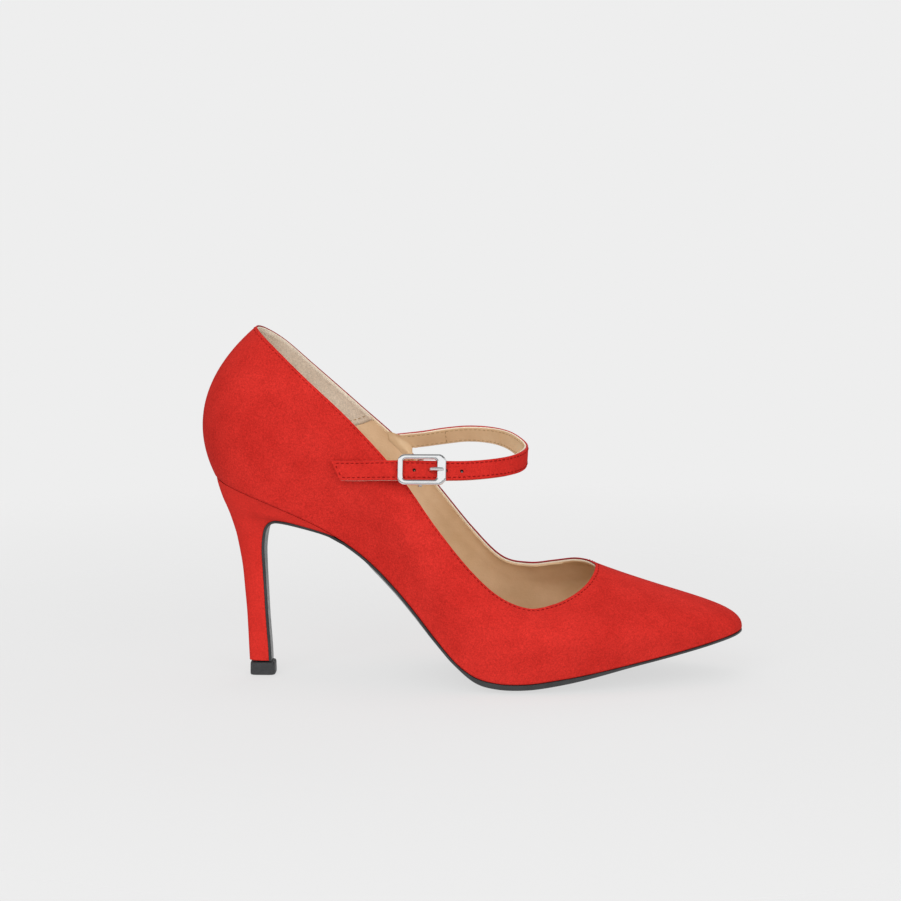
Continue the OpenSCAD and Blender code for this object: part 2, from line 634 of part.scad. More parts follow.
module buckle_tab() {
    loop_in = bar_r + 0.1;
    loop_out = loop_in + 0.9;
    tab_w = 8.6;
    slot_w = 2.6;
    sewn_from = -19.6;
    neck = -9;
    strip_top = -3.2;
    strip_t = 1.05;
    color("#c8382c")
    buckle_place() difference() {
        union() {
            bar_place() post(loop_out, -tab_w / 2, tab_w / 2);
            rotate([90, 0, 0]) translate([0, 0, -tab_w / 2]) linear_extrude(tab_w)
                polygon([[sewn_from, strip_top], [neck, strip_top], [bar_x - 0.4, bar_n + loop_in + 0.4],
                         [bar_x - 0.4, bar_n - loop_in - 0.4], [neck - 1, strip_top - strip_t],
                         [sewn_from, strip_top - strip_t]]);
        }
        bar_place() post(loop_in, -tab_w, tab_w);
        translate([bar_x - 3.2, -slot_w / 2, bar_n - 4]) cube([8, slot_w, 8]);
    }
}

upper();
vamp_lining();
heel_lining();
toe_puff();
heel_counter();
upper_backers();
topline_tape();
insole_board();
steel_shank();
shank_rivets();
bottom_filler();
sock_cushion();
sock_lining();
outsole();
heel_block();
heel_cover();
heel_dowel();
heel_screw();
heel_nails();
top_piece();
top_piece_pin();
buckle_tab();
strap_face();
strap_tape();
strap_back();
buckle_frame();
buckle_bar();
buckle_prong();
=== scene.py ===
import json
import math

import bmesh
import bpy
import numpy as np
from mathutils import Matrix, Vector


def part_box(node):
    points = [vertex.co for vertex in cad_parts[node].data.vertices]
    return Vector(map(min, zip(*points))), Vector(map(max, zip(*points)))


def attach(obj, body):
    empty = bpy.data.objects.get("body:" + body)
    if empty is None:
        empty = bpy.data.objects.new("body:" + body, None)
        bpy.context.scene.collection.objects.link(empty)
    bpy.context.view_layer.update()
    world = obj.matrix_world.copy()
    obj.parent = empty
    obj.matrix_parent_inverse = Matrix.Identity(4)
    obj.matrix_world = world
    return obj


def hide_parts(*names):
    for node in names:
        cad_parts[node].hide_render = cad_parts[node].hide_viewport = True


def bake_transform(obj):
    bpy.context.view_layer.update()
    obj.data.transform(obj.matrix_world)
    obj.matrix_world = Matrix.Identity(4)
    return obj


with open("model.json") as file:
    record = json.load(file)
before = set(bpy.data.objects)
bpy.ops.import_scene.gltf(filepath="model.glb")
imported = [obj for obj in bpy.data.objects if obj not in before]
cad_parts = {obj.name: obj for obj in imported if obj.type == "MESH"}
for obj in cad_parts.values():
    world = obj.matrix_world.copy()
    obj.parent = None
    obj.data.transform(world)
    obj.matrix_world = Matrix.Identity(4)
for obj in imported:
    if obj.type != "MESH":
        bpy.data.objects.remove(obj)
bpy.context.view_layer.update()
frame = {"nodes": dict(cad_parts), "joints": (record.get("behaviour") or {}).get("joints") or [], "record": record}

MM = 0.001

# ---------------------------------------------------------------- shape of the last, in millimetres
# Side profile of the line where the upper meets the sole and the heel seat: x, z.
SEAT_LINE = np.array([
    (-20.2, 87.1), (-14.2, 85.1), (-1, 80.4), (16, 73.2), (27, 67.8), (38, 61), (48, 53.3), (59, 42.2),
    (67.5, 32.3), (76, 21.7), (84, 12.7), (92, 6.9), (101, 4.4), (114, 4), (126, 5.3), (138, 7), (160, 11),
    (178, 14.3), (194, 17.4), (207.6, 20.5)], float)
# Plan of the same line, stations from the toe tip to the back of the heel: x, y.
FEATHER_OUTER = [
    (207.6, 6), (204.4, -2.6), (194.6, -9.6), (178, -18), (160, -25), (138, -31.2), (114, -35.4),
    (92, -34.2), (76, -30.4), (59, -25.6), (38, -22.2), (16, -22.6), (-1, -21.8), (-14.2, -14.6),
    (-20.2, 0)]
FEATHER_INNER = [
    (204.4, 14.2), (194.6, 20.6), (178, 28.2), (160, 34.4), (140, 38), (118, 38.4), (96, 34.2), (78, 27.6),
    (60, 21.2), (38, 18.6), (16, 20.6), (-1, 21), (-14.2, 14.4)]
# Topline from the throat round to the top of the back, at the same stations: x, y, z.
TOPLINE_OUTER = [
    (143.8, 3.6, 48.2), (142.8, -3.4, 46), (139.6, -10, 42.6), (134, -16.6, 39.2), (126, -22.6, 36.4),
    (115, -27.4, 35.4), (102.5, -30, 41), (90, -30, 52.6), (76, -28.8, 70), (60, -26.8, 92.4),
    (40, -25.6, 114.4), (20.6, -23.2, 132.4), (8.6, -18.4, 143.4), (0.9, -10.6, 149.9), (-1.9, 0, 152.2)]
TOPLINE_INNER = [
    (142.9, 10.6, 48.2), (140, 17, 48.4), (134.6, 22.6, 48), (126.4, 27, 46.2), (115, 29.8, 44.6),
    (103, 30.2, 47.4), (90, 29.2, 60.4), (76, 27.2, 78), (60, 25.6, 97.6), (40, 25, 115.8),
    (20.6, 23, 133.2), (8.6, 18.4, 144.4), (0.9, 10.6, 150.4)]
# Wall at each station: handle at the sole, flare, handle at the topline, lean (mm and degrees).
WALL = [
    (11.2, 8, 42, 70), (11.2, 8, 38, 68), (11.8, 10, 32, 66), (12, 12, 28, 64), (13, 14, 24, 62),
    (14, 14, 21, 58), (12, 14, 16, 48), (16, 10, 16, 36), (22, 6, 20, 26), (26, 4, 24, 20), (26, 6, 24, 14),
    (28, 8, 22, 14), (28, 13, 24, 20), (26, 21, 28, 36), (24, 27, 32, 50)]
# Heel breast edge from the wing tip round the arch to the heel tip: x, half width, z.
BREAST = np.array([
    (32.5, 20.6, 64.3), (26.5, 19.9, 66.4), (18, 18.6, 68.5), (10.5, 16.4, 69.8), (5.4, 13.6, 69.6),
    (2, 10.8, 66.9), (0.4, 8.4, 62.4), (-0.3, 6.4, 55.6), (-0.1, 5.2, 47.5), (0.4, 4.7, 37), (0.8, 4.5, 28),
    (1.3, 4.4, 20), (1.8, 4.4, 12.9), (2.1, 4.4, 6.1)], float)
# Back of the heel at the same points: x, z.
HEEL_BACK = np.array([
    (-20.2, 87.1), (-19, 82.7), (-17.5, 78.8), (-15.9, 75), (-14.4, 71), (-12.6, 65.3), (-11.5, 61),
    (-10.3, 54.6), (-9.2, 47.5), (-8.3, 37), (-7.6, 28), (-7.2, 20), (-6.9, 12.9), (-6.6, 6.1)], float)
# How square the heel's section is at the same points: 2 is round.
HEEL_SQUARE = np.array([2.9, 2.8, 2.6, 2.4, 2.3, 2.2, 2.1, 2, 2, 2, 2.1, 2.4, 2.8, 3.2], float)[:, None]
# Strap edges from the root to the free end: top x, y, z, low x, y, z.
STRAP = np.array([
    (56.6, 24.9, 102.6, 62.4, 28.2, 96.3), (68, 24.6, 104, 69.4, 29.5, 97.2),
    (77.2, 24.3, 105.5, 78, 29, 98.4), (87.5, 23.2, 106.6, 87.8, 28, 99.6),
    (97.6, 19.6, 106.6, 97.5, 24, 99.4), (105.8, 13.6, 105.6, 105, 17, 98),
    (111.4, 5.6, 103.6, 110.6, 7, 95.6), (114.5, -3, 101.4, 114, -3.2, 93),
    (112.4, -11, 99.9, 112.3, -13, 91.7), (106.6, -18.4, 98.9, 106.8, -21.6, 91.2),
    (98.2, -24.2, 98.4, 98.5, -27.9, 91), (88.4, -28, 98.2, 88.5, -31.6, 90.7),
    (77.6, -30.4, 98.5, 77.8, -33.5, 90.7), (65.2, -30.7, 98.7, 65.2, -33.7, 90.8),
    (52.6, -30.7, 98.6, 52.6, -33.7, 90.7), (42, -30.4, 98.3, 42.2, -33.2, 90.4),
    (31.8, -29.3, 98.2, 35.9, -32.1, 90.2)], float)

LOOP = 28          # stations round the shoe, from the toe along the outer side
SEAM = 9.75        # station of the lining seam at the topline
WING = 10.25       # station of the heel cover's wing tip
UPPER_T = 1.0      # suede
FACE_T = 0.62      # suede, skived along the topline
LINING_T = 0.8
SOCK_TOP = 5.7     # height of the sock lining over the seat line
SOCK_T = 0.8
SOLE_T = 1.2       # outsole at the waist and the breast flap
TREAD_EXTRA = 1.4  # added under the ball of the foot
COVER_T = 0.75     # heel cover


def both_sides(outer, inner):
    """One closed loop of stations from the two sides."""
    return np.array(list(outer) + list(inner)[::-1], float)


FEATHER = both_sides(FEATHER_OUTER, FEATHER_INNER)
TOPLINE = both_sides(TOPLINE_OUTER, TOPLINE_INNER)
WALLS = both_sides(WALL, WALL[1:-1])


def blend4(a, b, c, d, f):
    """Catmull-Rom curve from b to c."""
    square, cube = 2 * a - 5 * b + 4 * c - d, 3 * b - a - 3 * c + d
    return 0.5 * (2 * b + (c - a) * f + square * f * f + cube * f ** 3)


def loop_at(p, t):
    """Points at stations t on a closed loop of points."""
    t = np.asarray(t, float)
    i = np.floor(t).astype(int)
    n = len(p)
    return blend4(p[(i - 1) % n], p[i % n], p[(i + 1) % n], p[(i + 2) % n], (t - i)[..., None])


def line_at(p, t):
    """Points at stations t on an open line of points."""
    t = np.asarray(t, float)
    i = np.clip(np.floor(t).astype(int), 0, len(p) - 2)
    q = np.vstack([2 * p[0] - p[1], p, 2 * p[-1] - p[-2]])
    return blend4(q[i], q[i + 1], q[i + 2], q[i + 3], (t - i)[..., None])


def unit(v):
    return v / np.maximum(np.linalg.norm(v, axis=-1, keepdims=True), 1e-12)


def seat_z(x):
    """Height of the seat line at x, through its points with matched slopes."""
    kx, kz = SEAT_LINE[:, 0], SEAT_LINE[:, 1]
    s = np.diff(kz) / np.diff(kx)
    slope = np.concatenate([s[:1], (s[:-1] + s[1:]) / 2, s[-1:]])
    x = np.asarray(x, float)
    i = np.clip(np.searchsorted(kx, x, side="right") - 1, 0, len(kx) - 2)
    w = kx[i + 1] - kx[i]
    f = (x - kx[i]) / w
    a, b, m, n = kz[i], kz[i + 1], slope[i] * w, slope[i + 1] * w
    return a + f * (m + f * (3 * (b - a) - 2 * m - n + f * (m + n - 2 * (b - a))))


def seat_slope(x):
    """Slope of the seat line at x, and the length of its slanted unit."""
    k = seat_z(x + 0.5) - seat_z(x - 0.5)
    return k, np.sqrt(1 + k * k)


def over_seat(p, h):
    """Points h above the seat surface at plan positions p."""
    k, length = seat_slope(p[..., 0])
    return np.stack([p[..., 0] - h * k / length, p[..., 1], seat_z(p[..., 0]) + h / length], -1)


def plan_out(loop, t):
    """Outward direction in plan at stations t of a loop."""
    d = loop_at(loop, t + 0.02) - loop_at(loop, t - 0.02)
    return unit(np.stack([-d[..., 1], d[..., 0]], -1))


def edge(t, inset):
    """Plan positions along the feather edge, moved in by inset."""
    t = np.asarray(t, float)
    return loop_at(FEATHER, t) - np.asarray(inset, float)[..., None] * plan_out(FEATHER, t)


def wall(t, v):
    """Outer face of the last's wall: t round the shoe, v from the feather edge to the topline."""
    t, v = np.broadcast_arrays(np.asarray(t, float), np.asarray(v, float))
    s = loop_at(WALLS, t)
    foot, top = over_seat(loop_at(FEATHER, t), 0), loop_at(TOPLINE, t)
    a, b = plan_out(FEATHER, t), plan_out(TOPLINE, t)
    flare, lean = np.radians(s[..., 1:2]), np.radians(s[..., 3:4])
    low = foot + s[..., 0:1] * np.concatenate([a * np.sin(flare), np.cos(flare)], -1)
    high = top + s[..., 2:3] * np.concatenate([b * np.sin(lean), -np.cos(lean)], -1)
    v = v[..., None]
    w = 1 - v
    return w ** 3 * foot + 3 * w * w * v * low + 3 * w * v * v * high + v ** 3 * top


def wall_frame(t, v):
    """Point on the wall, its outward normal, and the direction up the column."""
    t, v = np.broadcast_arrays(np.asarray(t, float), np.asarray(v, float))
    lo, hi = np.clip(v - 0.004, 0, 1), np.clip(v + 0.004, 0, 1)
    up = unit(wall(t, hi) - wall(t, lo))
    along = wall(t + 0.03, v) - wall(t - 0.03, v)
    return wall(t, v), unit(np.cross(up, along)), up


def inside(t, v, d):
    """Points d behind the wall's outer face."""
    p, n, _ = wall_frame(t, v)
    return p - np.asarray(d, float)[..., None] * n


def lip(t, d, rise):
    """Points round the topline: d inside the outer face, rise above the edge."""
    p, n, up = wall_frame(t, 1.0)
    return p - d * n + rise * up


def smooth(x):
    """0 to 1 with no corners."""
    x = np.clip(x, 0, 1)
    return x * x * (3 - 2 * x)


def across(a, b, w):
    """Rows of points between matching points a and b, at w from -1 to 1."""
    return a[:, None] + (b - a)[:, None] * ((w + 1) / 2)[None, :, None]


def full_turn(sides):
    return np.linspace(0, 2 * np.pi, sides, endpoint=False)


def rounded(angle, square):
    """Unit superellipse: 2 is a circle, and higher values are squarer."""
    c, s = np.cos(angle), np.sin(angle)
    return np.sign(c) * np.abs(c) ** (2 / square), np.sign(s) * np.abs(s) ** (2 / square)


# ---------------------------------------------------------------- mesh helpers
def new_object(name, verts, faces, mats, face_mats=None):
    """Smooth-shaded mesh object from points in millimetres."""
    mesh = bpy.data.meshes.new(name)
    mesh.from_pydata((np.asarray(verts, float) * MM).tolist(), [], [tuple(map(int, f)) for f in faces])
    for m in mats:
        mesh.materials.append(m)
    if face_mats is not None:
        mesh.polygons.foreach_set("material_index", np.asarray(face_mats, np.int32))
    mesh.polygons.foreach_set("use_smooth", np.full(len(mesh.polygons), True))
    mesh.validate()
    obj = bpy.data.objects.new(name, mesh)
    bpy.context.scene.collection.objects.link(obj)
    return obj


def tidy_mesh(obj, merge=0.00001):
    """Merge touching points, drop slivers and turn every face outwards."""
    bm = bmesh.new()
    bm.from_mesh(obj.data)
    bmesh.ops.remove_doubles(bm, verts=bm.verts, dist=merge)
    bmesh.ops.dissolve_degenerate(bm, edges=bm.edges, dist=merge / 4)
    bmesh.ops.recalc_face_normals(bm, faces=bm.faces)
    bm.to_mesh(obj.data)
    bm.free()
    return obj


def grid_faces(n, m, round_i=False, round_j=False, start=0):
    """Quads over an n by m grid of points, which may close on itself in either direction."""
    i = np.arange(n if round_i else n - 1)
    j = np.arange(m if round_j else m - 1)
    a, b = np.meshgrid(i, j, indexing="ij")
    c, d = (a + 1) % n, (b + 1) % m
    f = np.stack([a * m + b, c * m + b, c * m + d, a * m + d], -1) + start
    return f.reshape(-1, 4)


def tube_object(name, rings, mats, closed=False, row_mats=None):
    """Closed rings of points joined into a skin; its two ends are closed by a strip across the ring."""
    n, m = rings.shape[:2]
    row_mats = [0] * m if row_mats is None else row_mats
    faces = [tuple(f) for f in grid_faces(n, m, closed, True)]
    face_mats = list(np.tile(np.asarray(row_mats), n if closed else n - 1))
    half = m // 2
    for base in () if closed else (0, (n - 1) * m):
        strip = [(base + k, base + k + 1, base + m - 2 - k, base + m - 1 - k) for k in range(half - 1)]
        if m % 2:
            strip.append((base + half - 1, base + half, base + half + 1))
        faces += strip
        face_mats += [row_mats[0]] * len(strip)
    return tidy_mesh(new_object(name, rings.reshape(-1, 3), faces, mats, face_mats))


def fit(obj, body, slot, *nodes):
    """Make a piece ride on a body and stand for the named nodes; the slot is not used."""
    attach(obj, body)
    if nodes:
        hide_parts(*nodes)


# ---------------------------------------------------------------- materials
class Tree:
    """Nodes and links of one node tree; a value for an input is a number, a colour or another socket."""

    def __init__(self, tree):
        self.tree = tree

    def link(self, value, socket):
        if hasattr(value, "links"):
            self.tree.links.new(value, socket)
        else:
            socket.default_value = value

    def fill(self, node, **inputs):
        for key, value in inputs.items():
            self.link(value, node.inputs[key.replace("_", " ")])
        return node

    def node(self, kind, **inputs):
        return self.fill(self.tree.nodes.new("ShaderNode" + kind), **inputs)

    def mix_shader(self, fac, a, b):
        node = self.node("MixShader", Fac=fac)
        self.link(a.outputs[0], node.inputs[1])
        self.link(b.outputs[0], node.inputs[2])
        return node


class Shader(Tree):
    """One material's nodes."""

    def __init__(self, name):
        self.mat = bpy.data.materials.new(name)
        self.mat.use_nodes = True
        super().__init__(self.mat.node_tree)
        self.bsdf = self.tree.nodes["Principled BSDF"]
        self.coords = self.node("TexCoord").outputs["Object"]

    def put(self, **inputs):
        self.fill(self.bsdf, **inputs)

    def stretched(self, scale):
        return self.node("Mapping", Scale=scale, Vector=self.coords).outputs["Vector"]

    def noise(self, scale, detail=3.0, rough=0.55, vector=None, distort=0.0):
        return self.node("TexNoise", Scale=scale, Detail=detail, Roughness=rough, Distortion=distort,
                         Vector=vector or self.coords).outputs["Fac"]

    def cells(self, scale):
        return self.node("TexVoronoi", Scale=scale, Vector=self.coords).outputs["Distance"]

    def math(self, op, a, b):
        node = self.node("Math")
        node.operation = op
        self.link(a, node.inputs[0])
        self.link(b, node.inputs[1])
        return node.outputs[0]

    def span(self, value, low, high, out_low=0.0, out_high=1.0):
        return self.node("MapRange", Value=value, From_Min=low, From_Max=high, To_Min=out_low,
                         To_Max=out_high).outputs["Result"]

    def mix(self, fac, a, b):
        node = self.node("Mix")
        node.data_type = "RGBA"
        self.link(fac, node.inputs[0])
        self.link(a if hasattr(a, "links") else (*a, 1.0), node.inputs[6])
        self.link(b if hasattr(b, "links") else (*b, 1.0), node.inputs[7])
        return node.outputs[2]

    def bump(self, height, distance, strength, under=None):
        """Bump with a distance in millimetres, over another bump if one is given."""
        node = self.node("Bump", Distance=distance * MM, Strength=strength, Height=height)
        if under is not None:
            self.fill(node, Normal=under)
        return node.outputs["Normal"]


def shade(colour, share):
    return tuple(c * share for c in colour)


def suede(name, dark, light, nap=1.0):
    """Brushed leather: soft mottling where the nap lies differently, fine fibres, a soft sheen, and painted shade
    on the rims.
    """
    s = Shader(name)
    broad = s.noise(26, 3, 0.55, distort=0.4)
    patch = s.noise(120, 3, 0.6)
    combed = s.noise(1000, 3, 0.65)
    fibre = s.noise(1900, 2, 0.7)
    lay = s.math("ADD", s.math("MULTIPLY", broad, 0.65), s.math("MULTIPLY", patch, 0.35))
    colour = s.mix(s.span(lay, 0.38, 0.62), dark, light)
    speck = s.math("ADD", s.math("MULTIPLY", fibre, 0.6), s.math("MULTIPLY", combed, 0.4))
    colour = s.mix(s.span(speck, 0.35, 0.62), s.mix(0.80 - 0.16 * nap, (0, 0, 0), colour), colour)
    # Painted shade: the colour darkens towards dark * 0.8 where the surface turns edge-on to the view, on the rims
    # of the suede.
    facing = s.node("LayerWeight", Blend=0.35).outputs["Facing"]
    painted_rim_shade = s.span(facing, 0.55, 1.0, 0.0, 0.5)
    colour = s.mix(painted_rim_shade, colour, shade(dark, 0.8))
    height = s.math("ADD", s.math("MULTIPLY", fibre, 0.7), s.math("MULTIPLY", combed, 0.5))
    normal = s.bump(height, 0.22 * nap, 0.55, under=s.bump(patch, 0.25, 0.25))
    s.put(Base_Color=colour, Roughness=0.9, Normal=normal)
    s.put(Sheen_Weight=0.06, Sheen_Roughness=0.4, Sheen_Tint=(*light, 1.0), Specular_IOR_Level=0.05)
    return s.mat


def lining_leather(name, dark, light, rough=0.5):
    """Smooth lining leather with pores, soft creases and slight colour drift."""
    s = Shader(name)
    drift = s.noise(55, 4, 0.6)
    pores = s.cells(2300)
    grain = s.noise(1500, 3, 0.6)
    crease = s.noise(240, 4, 0.65, vector=s.stretched((1.0, 1.0, 2.4)), distort=1.2)
    colour = s.mix(s.span(drift, 0.35, 0.65), dark, light)
    colour = s.mix(s.span(pores, 0.0, 0.25, 0.16, 0.0), colour, shade(dark, 0.55))
    height = s.math("ADD", s.math("MULTIPLY", grain, 0.5), s.math("MULTIPLY", pores, 0.5))
    normal = s.bump(height, 0.10, 0.5, under=s.bump(crease, 0.3, 0.35))
    s.put(Base_Color=colour, Roughness=s.span(grain, 0.3, 0.7, rough - 0.06, rough + 0.1), Normal=normal)
    s.put(Specular_IOR_Level=0.35)
    return s.mat


def raw_edge(name, dark, light):
    """Cut leather edge: pale, fibrous, slightly stained by the dye; the same finish also carries the painted shade
    of the suede lip and of the hole walls.
    """
    s = Shader(name)
    fibre = s.noise(2600, 3, 0.7)
    s.put(Base_Color=s.mix(s.span(fibre, 0.35, 0.65), dark, light), Roughness=0.85)
    s.put(Normal=s.bump(fibre, 0.12, 0.6))
    return s.mat


def sole_finish(name, base, rough):
    """Black inked leather: satin, with faint brush marks and scuffs."""
    s = Shader(name)
    brush = s.noise(420, 4, 0.6, vector=s.stretched((0.25, 1.0, 1.0)))
    grain = s.cells(1500)
    wear = s.noise(60, 5, 0.6)
    colour = s.mix(s.span(wear, 0.4, 0.75), base, tuple(c * 1.7 + 0.01 for c in base))
    s.put(Base_Color=colour, Roughness=s.span(brush, 0.3, 0.7, rough - 0.08, rough + 0.12))
    s.put(Normal=s.bump(grain, 0.05, 0.4, under=s.bump(brush, 0.08, 0.3)), Specular_IOR_Level=0.5)
    return s.mat


def moulded(name, colour, rough):
    """Moulded rubber or plastic with a fine eroded texture."""
    s = Shader(name)
    grain = s.noise(1200, 3, 0.6)
    s.put(Base_Color=s.mix(s.span(grain, 0.3, 0.7), shade(colour, 0.8), shade(colour, 1.2)))
    s.put(Roughness=s.span(grain, 0.3, 0.7, rough - 0.05, rough + 0.08), Normal=s.bump(grain, 0.05, 0.5))
    return s.mat


def metal(name, colour, rough, streak):
    """Polished or brushed metal: fine streaks along the part and a slight cloudiness."""
    s = Shader(name)
    fine = s.noise(900, 4, 0.6, vector=s.stretched((1.0, 6.0, 6.0)))
    broad = s.noise(180, 2, 0.5)
    s.put(Metallic=1.0, Base_Color=s.mix(s.span(broad, 0.3, 0.7), shade(colour, 0.94), colour))
    s.put(Roughness=s.span(fine, 0.3, 0.7, rough - streak / 2, rough + streak))
    s.put(Normal=s.bump(fine, 0.01, 0.3))
    return s.mat


def woven(name, colour):
    """Plain textile tape."""
    s = Shader(name)
    threads = s.node("TexWave", Scale=1400, Vector=s.coords).outputs["Fac"]
    fuzz = s.noise(1800, 3)
    colour = s.mix(s.math("MULTIPLY", threads, fuzz), shade(colour, 0.78), colour)
    s.put(Base_Color=colour, Roughness=0.95, Normal=s.bump(threads, 0.12, 0.6))
    return s.mat


def board(name, dark, light, scale):
    """Pressed fibreboard, cork or foam: a speckled body."""
    s = Shader(name)
    fleck = s.cells(scale)
    fine = s.noise(scale * 3, 4, 0.6)
    colour = s.mix(s.span(fleck, 0.1, 0.6), dark, light)
    s.put(Base_Color=colour, Roughness=0.92, Normal=s.bump(s.math("ADD", fleck, fine), 0.15, 0.5))
    return s.mat


RED_DARK, RED_LIGHT = (0.55, 0.0235, 0.0175), (0.66, 0.0325, 0.0245)
# Named after the record's material slots.
MATS = {
    "upper_suede": suede("upper_suede", RED_DARK, RED_LIGHT),
    "strap_suede": suede("strap_suede", RED_DARK, RED_LIGHT, nap=0.8),
    "heel_suede": suede("heel_suede", (0.62, 0.0285, 0.021), (0.70, 0.035, 0.026), nap=0.45),
    "lining_leather": lining_leather("lining_leather", (0.66, 0.44, 0.25), (0.76, 0.53, 0.325)),
    "strap_lining_leather": lining_leather("strap_lining_leather", (0.66, 0.45, 0.26), (0.75, 0.54, 0.33)),
    "sock_leather": lining_leather("sock_leather", (0.50, 0.32, 0.18), (0.60, 0.40, 0.24), rough=0.42),
    "heel_grip_lining": suede("heel_grip_lining", (0.66, 0.54, 0.42), (0.78, 0.66, 0.53), nap=0.6),
    "sole_leather": sole_finish("sole_leather", (0.016, 0.017, 0.018), 0.34),
    "top_piece_rubber": moulded("top_piece_rubber", (0.028, 0.029, 0.031), 0.5),
    "heel_plastic": moulded("heel_plastic", (0.022, 0.016, 0.013), 0.45),
    "buckle_metal": metal("buckle_metal", (0.86, 0.87, 0.88), 0.1, 0.04),
    "zinc_steel": metal("zinc_steel", (0.62, 0.63, 0.66), 0.3, 0.1),
    "spring_steel": metal("spring_steel", (0.36, 0.37, 0.39), 0.38, 0.12),
    "white_textile": woven("white_textile", (0.82, 0.80, 0.75)),
    "stiffener_board": board("stiffener_board", (0.62, 0.55, 0.42), (0.76, 0.70, 0.58), 900),
    "insole_fibreboard": board("insole_fibreboard", (0.26, 0.16, 0.09), (0.40, 0.27, 0.16), 700),
    "cork_filler": board("cork_filler", (0.20, 0.11, 0.05), (0.42, 0.27, 0.14), 450),
    "latex_foam": board("latex_foam", (0.74, 0.66, 0.42), (0.88, 0.82, 0.62), 1100),
}
# Finishes that a piece needs besides its own slot.
# The sole's underside: glossier and a lighter grey; the lighter grey is a painted reflection of the pale floor.
SOLE_UNDER_PAINTED_REFLECTION = sole_finish("sole_under_painted_reflection", (0.032, 0.033, 0.035), 0.3)
CREAM_EDGE = raw_edge("cream_edge", (0.72, 0.62, 0.48), (0.82, 0.73, 0.59))
RED_EDGE = raw_edge("red_edge", (0.34, 0.02, 0.018), (0.52, 0.05, 0.045))
# Painted shade: a dark crimson for the top and inside of the suede's rolled lip, standing in for its shaded rim.
LIP_PAINTED_SHADE = raw_edge("lip_painted_shade", (0.24, 0.008, 0.014), (0.34, 0.013, 0.018))
# Painted shade: near-black, for the punched holes' walls and the strap back's side against the face, so that the
# holes look dark inside.
HOLE_PAINTED_SHADE = raw_edge("hole_painted_shade", (0.03, 0.012, 0.010), (0.06, 0.02, 0.016))
RED_THREAD = suede("red_thread", (0.20, 0.006, 0.006), (0.28, 0.009, 0.009), nap=0.4)
TOPLINE_THREAD = suede("topline_thread", (0.33, 0.010, 0.009), (0.42, 0.014, 0.012), nap=0.4)
TAN_THREAD = suede("tan_thread", (0.42, 0.27, 0.14), (0.54, 0.37, 0.21), nap=0.4)


# ---------------------------------------------------------------- stitches
def sew(name, rows, mat, length, radius, pitch=2.1):
    """Sewn rows: each row is (points, normals) along a curve; every stitch is a small arched thread."""
    verts, faces = [], []
    ring, sides = 7, 6
    u = np.linspace(-1, 1, ring)
    angle = full_turn(sides)
    for points, normals in rows:
        seg = np.linalg.norm(np.diff(points, axis=0), axis=1)
        dist = np.concatenate([[0], np.cumsum(seg)])
        count = int(dist[-1] // pitch)
        for k in range(count):
            mid = (k + 0.5) * dist[-1] / count
            at = np.clip(mid + u * length / 2, 0, dist[-1])
            centre = np.stack([np.interp(at, dist, points[:, a]) for a in range(3)], -1)
            up = unit(np.stack([np.interp(mid, dist, normals[:, a]) for a in range(3)]))
            along = unit(centre[-1] - centre[0])
            side = np.cross(up, along)
            lift = radius * (0.55 - 1.5 * u ** 4)
            r = radius * np.sqrt(np.clip(1.02 - 0.6 * u ** 6, 0.05, 1))
            centre = centre + up * lift[:, None]
            ring_pts = (centre[:, None] + side * (np.cos(angle) * r[:, None])[..., None]
                        + up * (np.sin(angle) * r[:, None])[..., None])
            base = len(verts)
            verts.extend(ring_pts.reshape(-1, 3))
            faces.extend((grid_faces(ring, sides, False, True) + base).tolist())
            faces.append([base + s for s in range(sides)][::-1])
            faces.append([base + (ring - 1) * sides + s for s in range(sides)])
    return tidy_mesh(new_object(name, verts, faces, [mat]), 1e-7)


# ---------------------------------------------------------------- upper and linings
def wall_depth(v):
    """How far the lining's inner face lies behind the outer face: thin at the topline, full lower down."""
    backing = 1.15 * smooth((1 - v) / 0.22)
    return UPPER_T + LINING_T + 0.06 + backing


def build_upper():
    """Suede shell: lasting margin under the insole, wall, rolled lip at the topline, and the wall's back."""
    t = np.linspace(0, LOOP, 448, endpoint=False)
    margin = [(4.0, 0.03), (1.4, 0.03), (0.55, 0.06), (0.18, 0.3)]
    levels = np.concatenate([np.linspace(0.016, 0.1, 6), np.linspace(0.12, 0.985, 62)])
    roll = [(0.0, -0.4), (0.02, -0.16), (0.12, -0.02), (0.28, 0.02), (0.45, 0.0), (0.57, -0.08),
            (FACE_T, -0.25), (FACE_T, -2.2)]
    cols = [over_seat(edge(t, reach), h) for reach, h in margin]
    cols += [inside(t, v, 0.0) for v in levels]
    cols += [lip(t, d, rise) for d, rise in roll]
    cols += [inside(t, v, FACE_T) for v in (0.9, 0.7, 0.5, 0.3, 0.1)]
    cols += [over_seat(edge(t, reach), 1.2) for reach in (1.6, 4.0)]
    before = len(margin) + len(levels) + 2
    # The rolled lip's top and its inside face (kind 1) take the dark crimson of painted shade.
    kinds = [0] * before + [1] * 5 + [0] * (len(cols) - before - 5)
    obj = tube_object("upper_suede", np.stack(cols, 1), [MATS["upper_suede"], LIP_PAINTED_SHADE], True, kinds)
    fit(obj, "shoe", "upper_suede", "upper", "topline_tape")


def seam_at(v):
    """Station of the lining seam: it starts on the topline and rakes back as it goes down."""
    return SEAM + 2.4 * (1 - v)


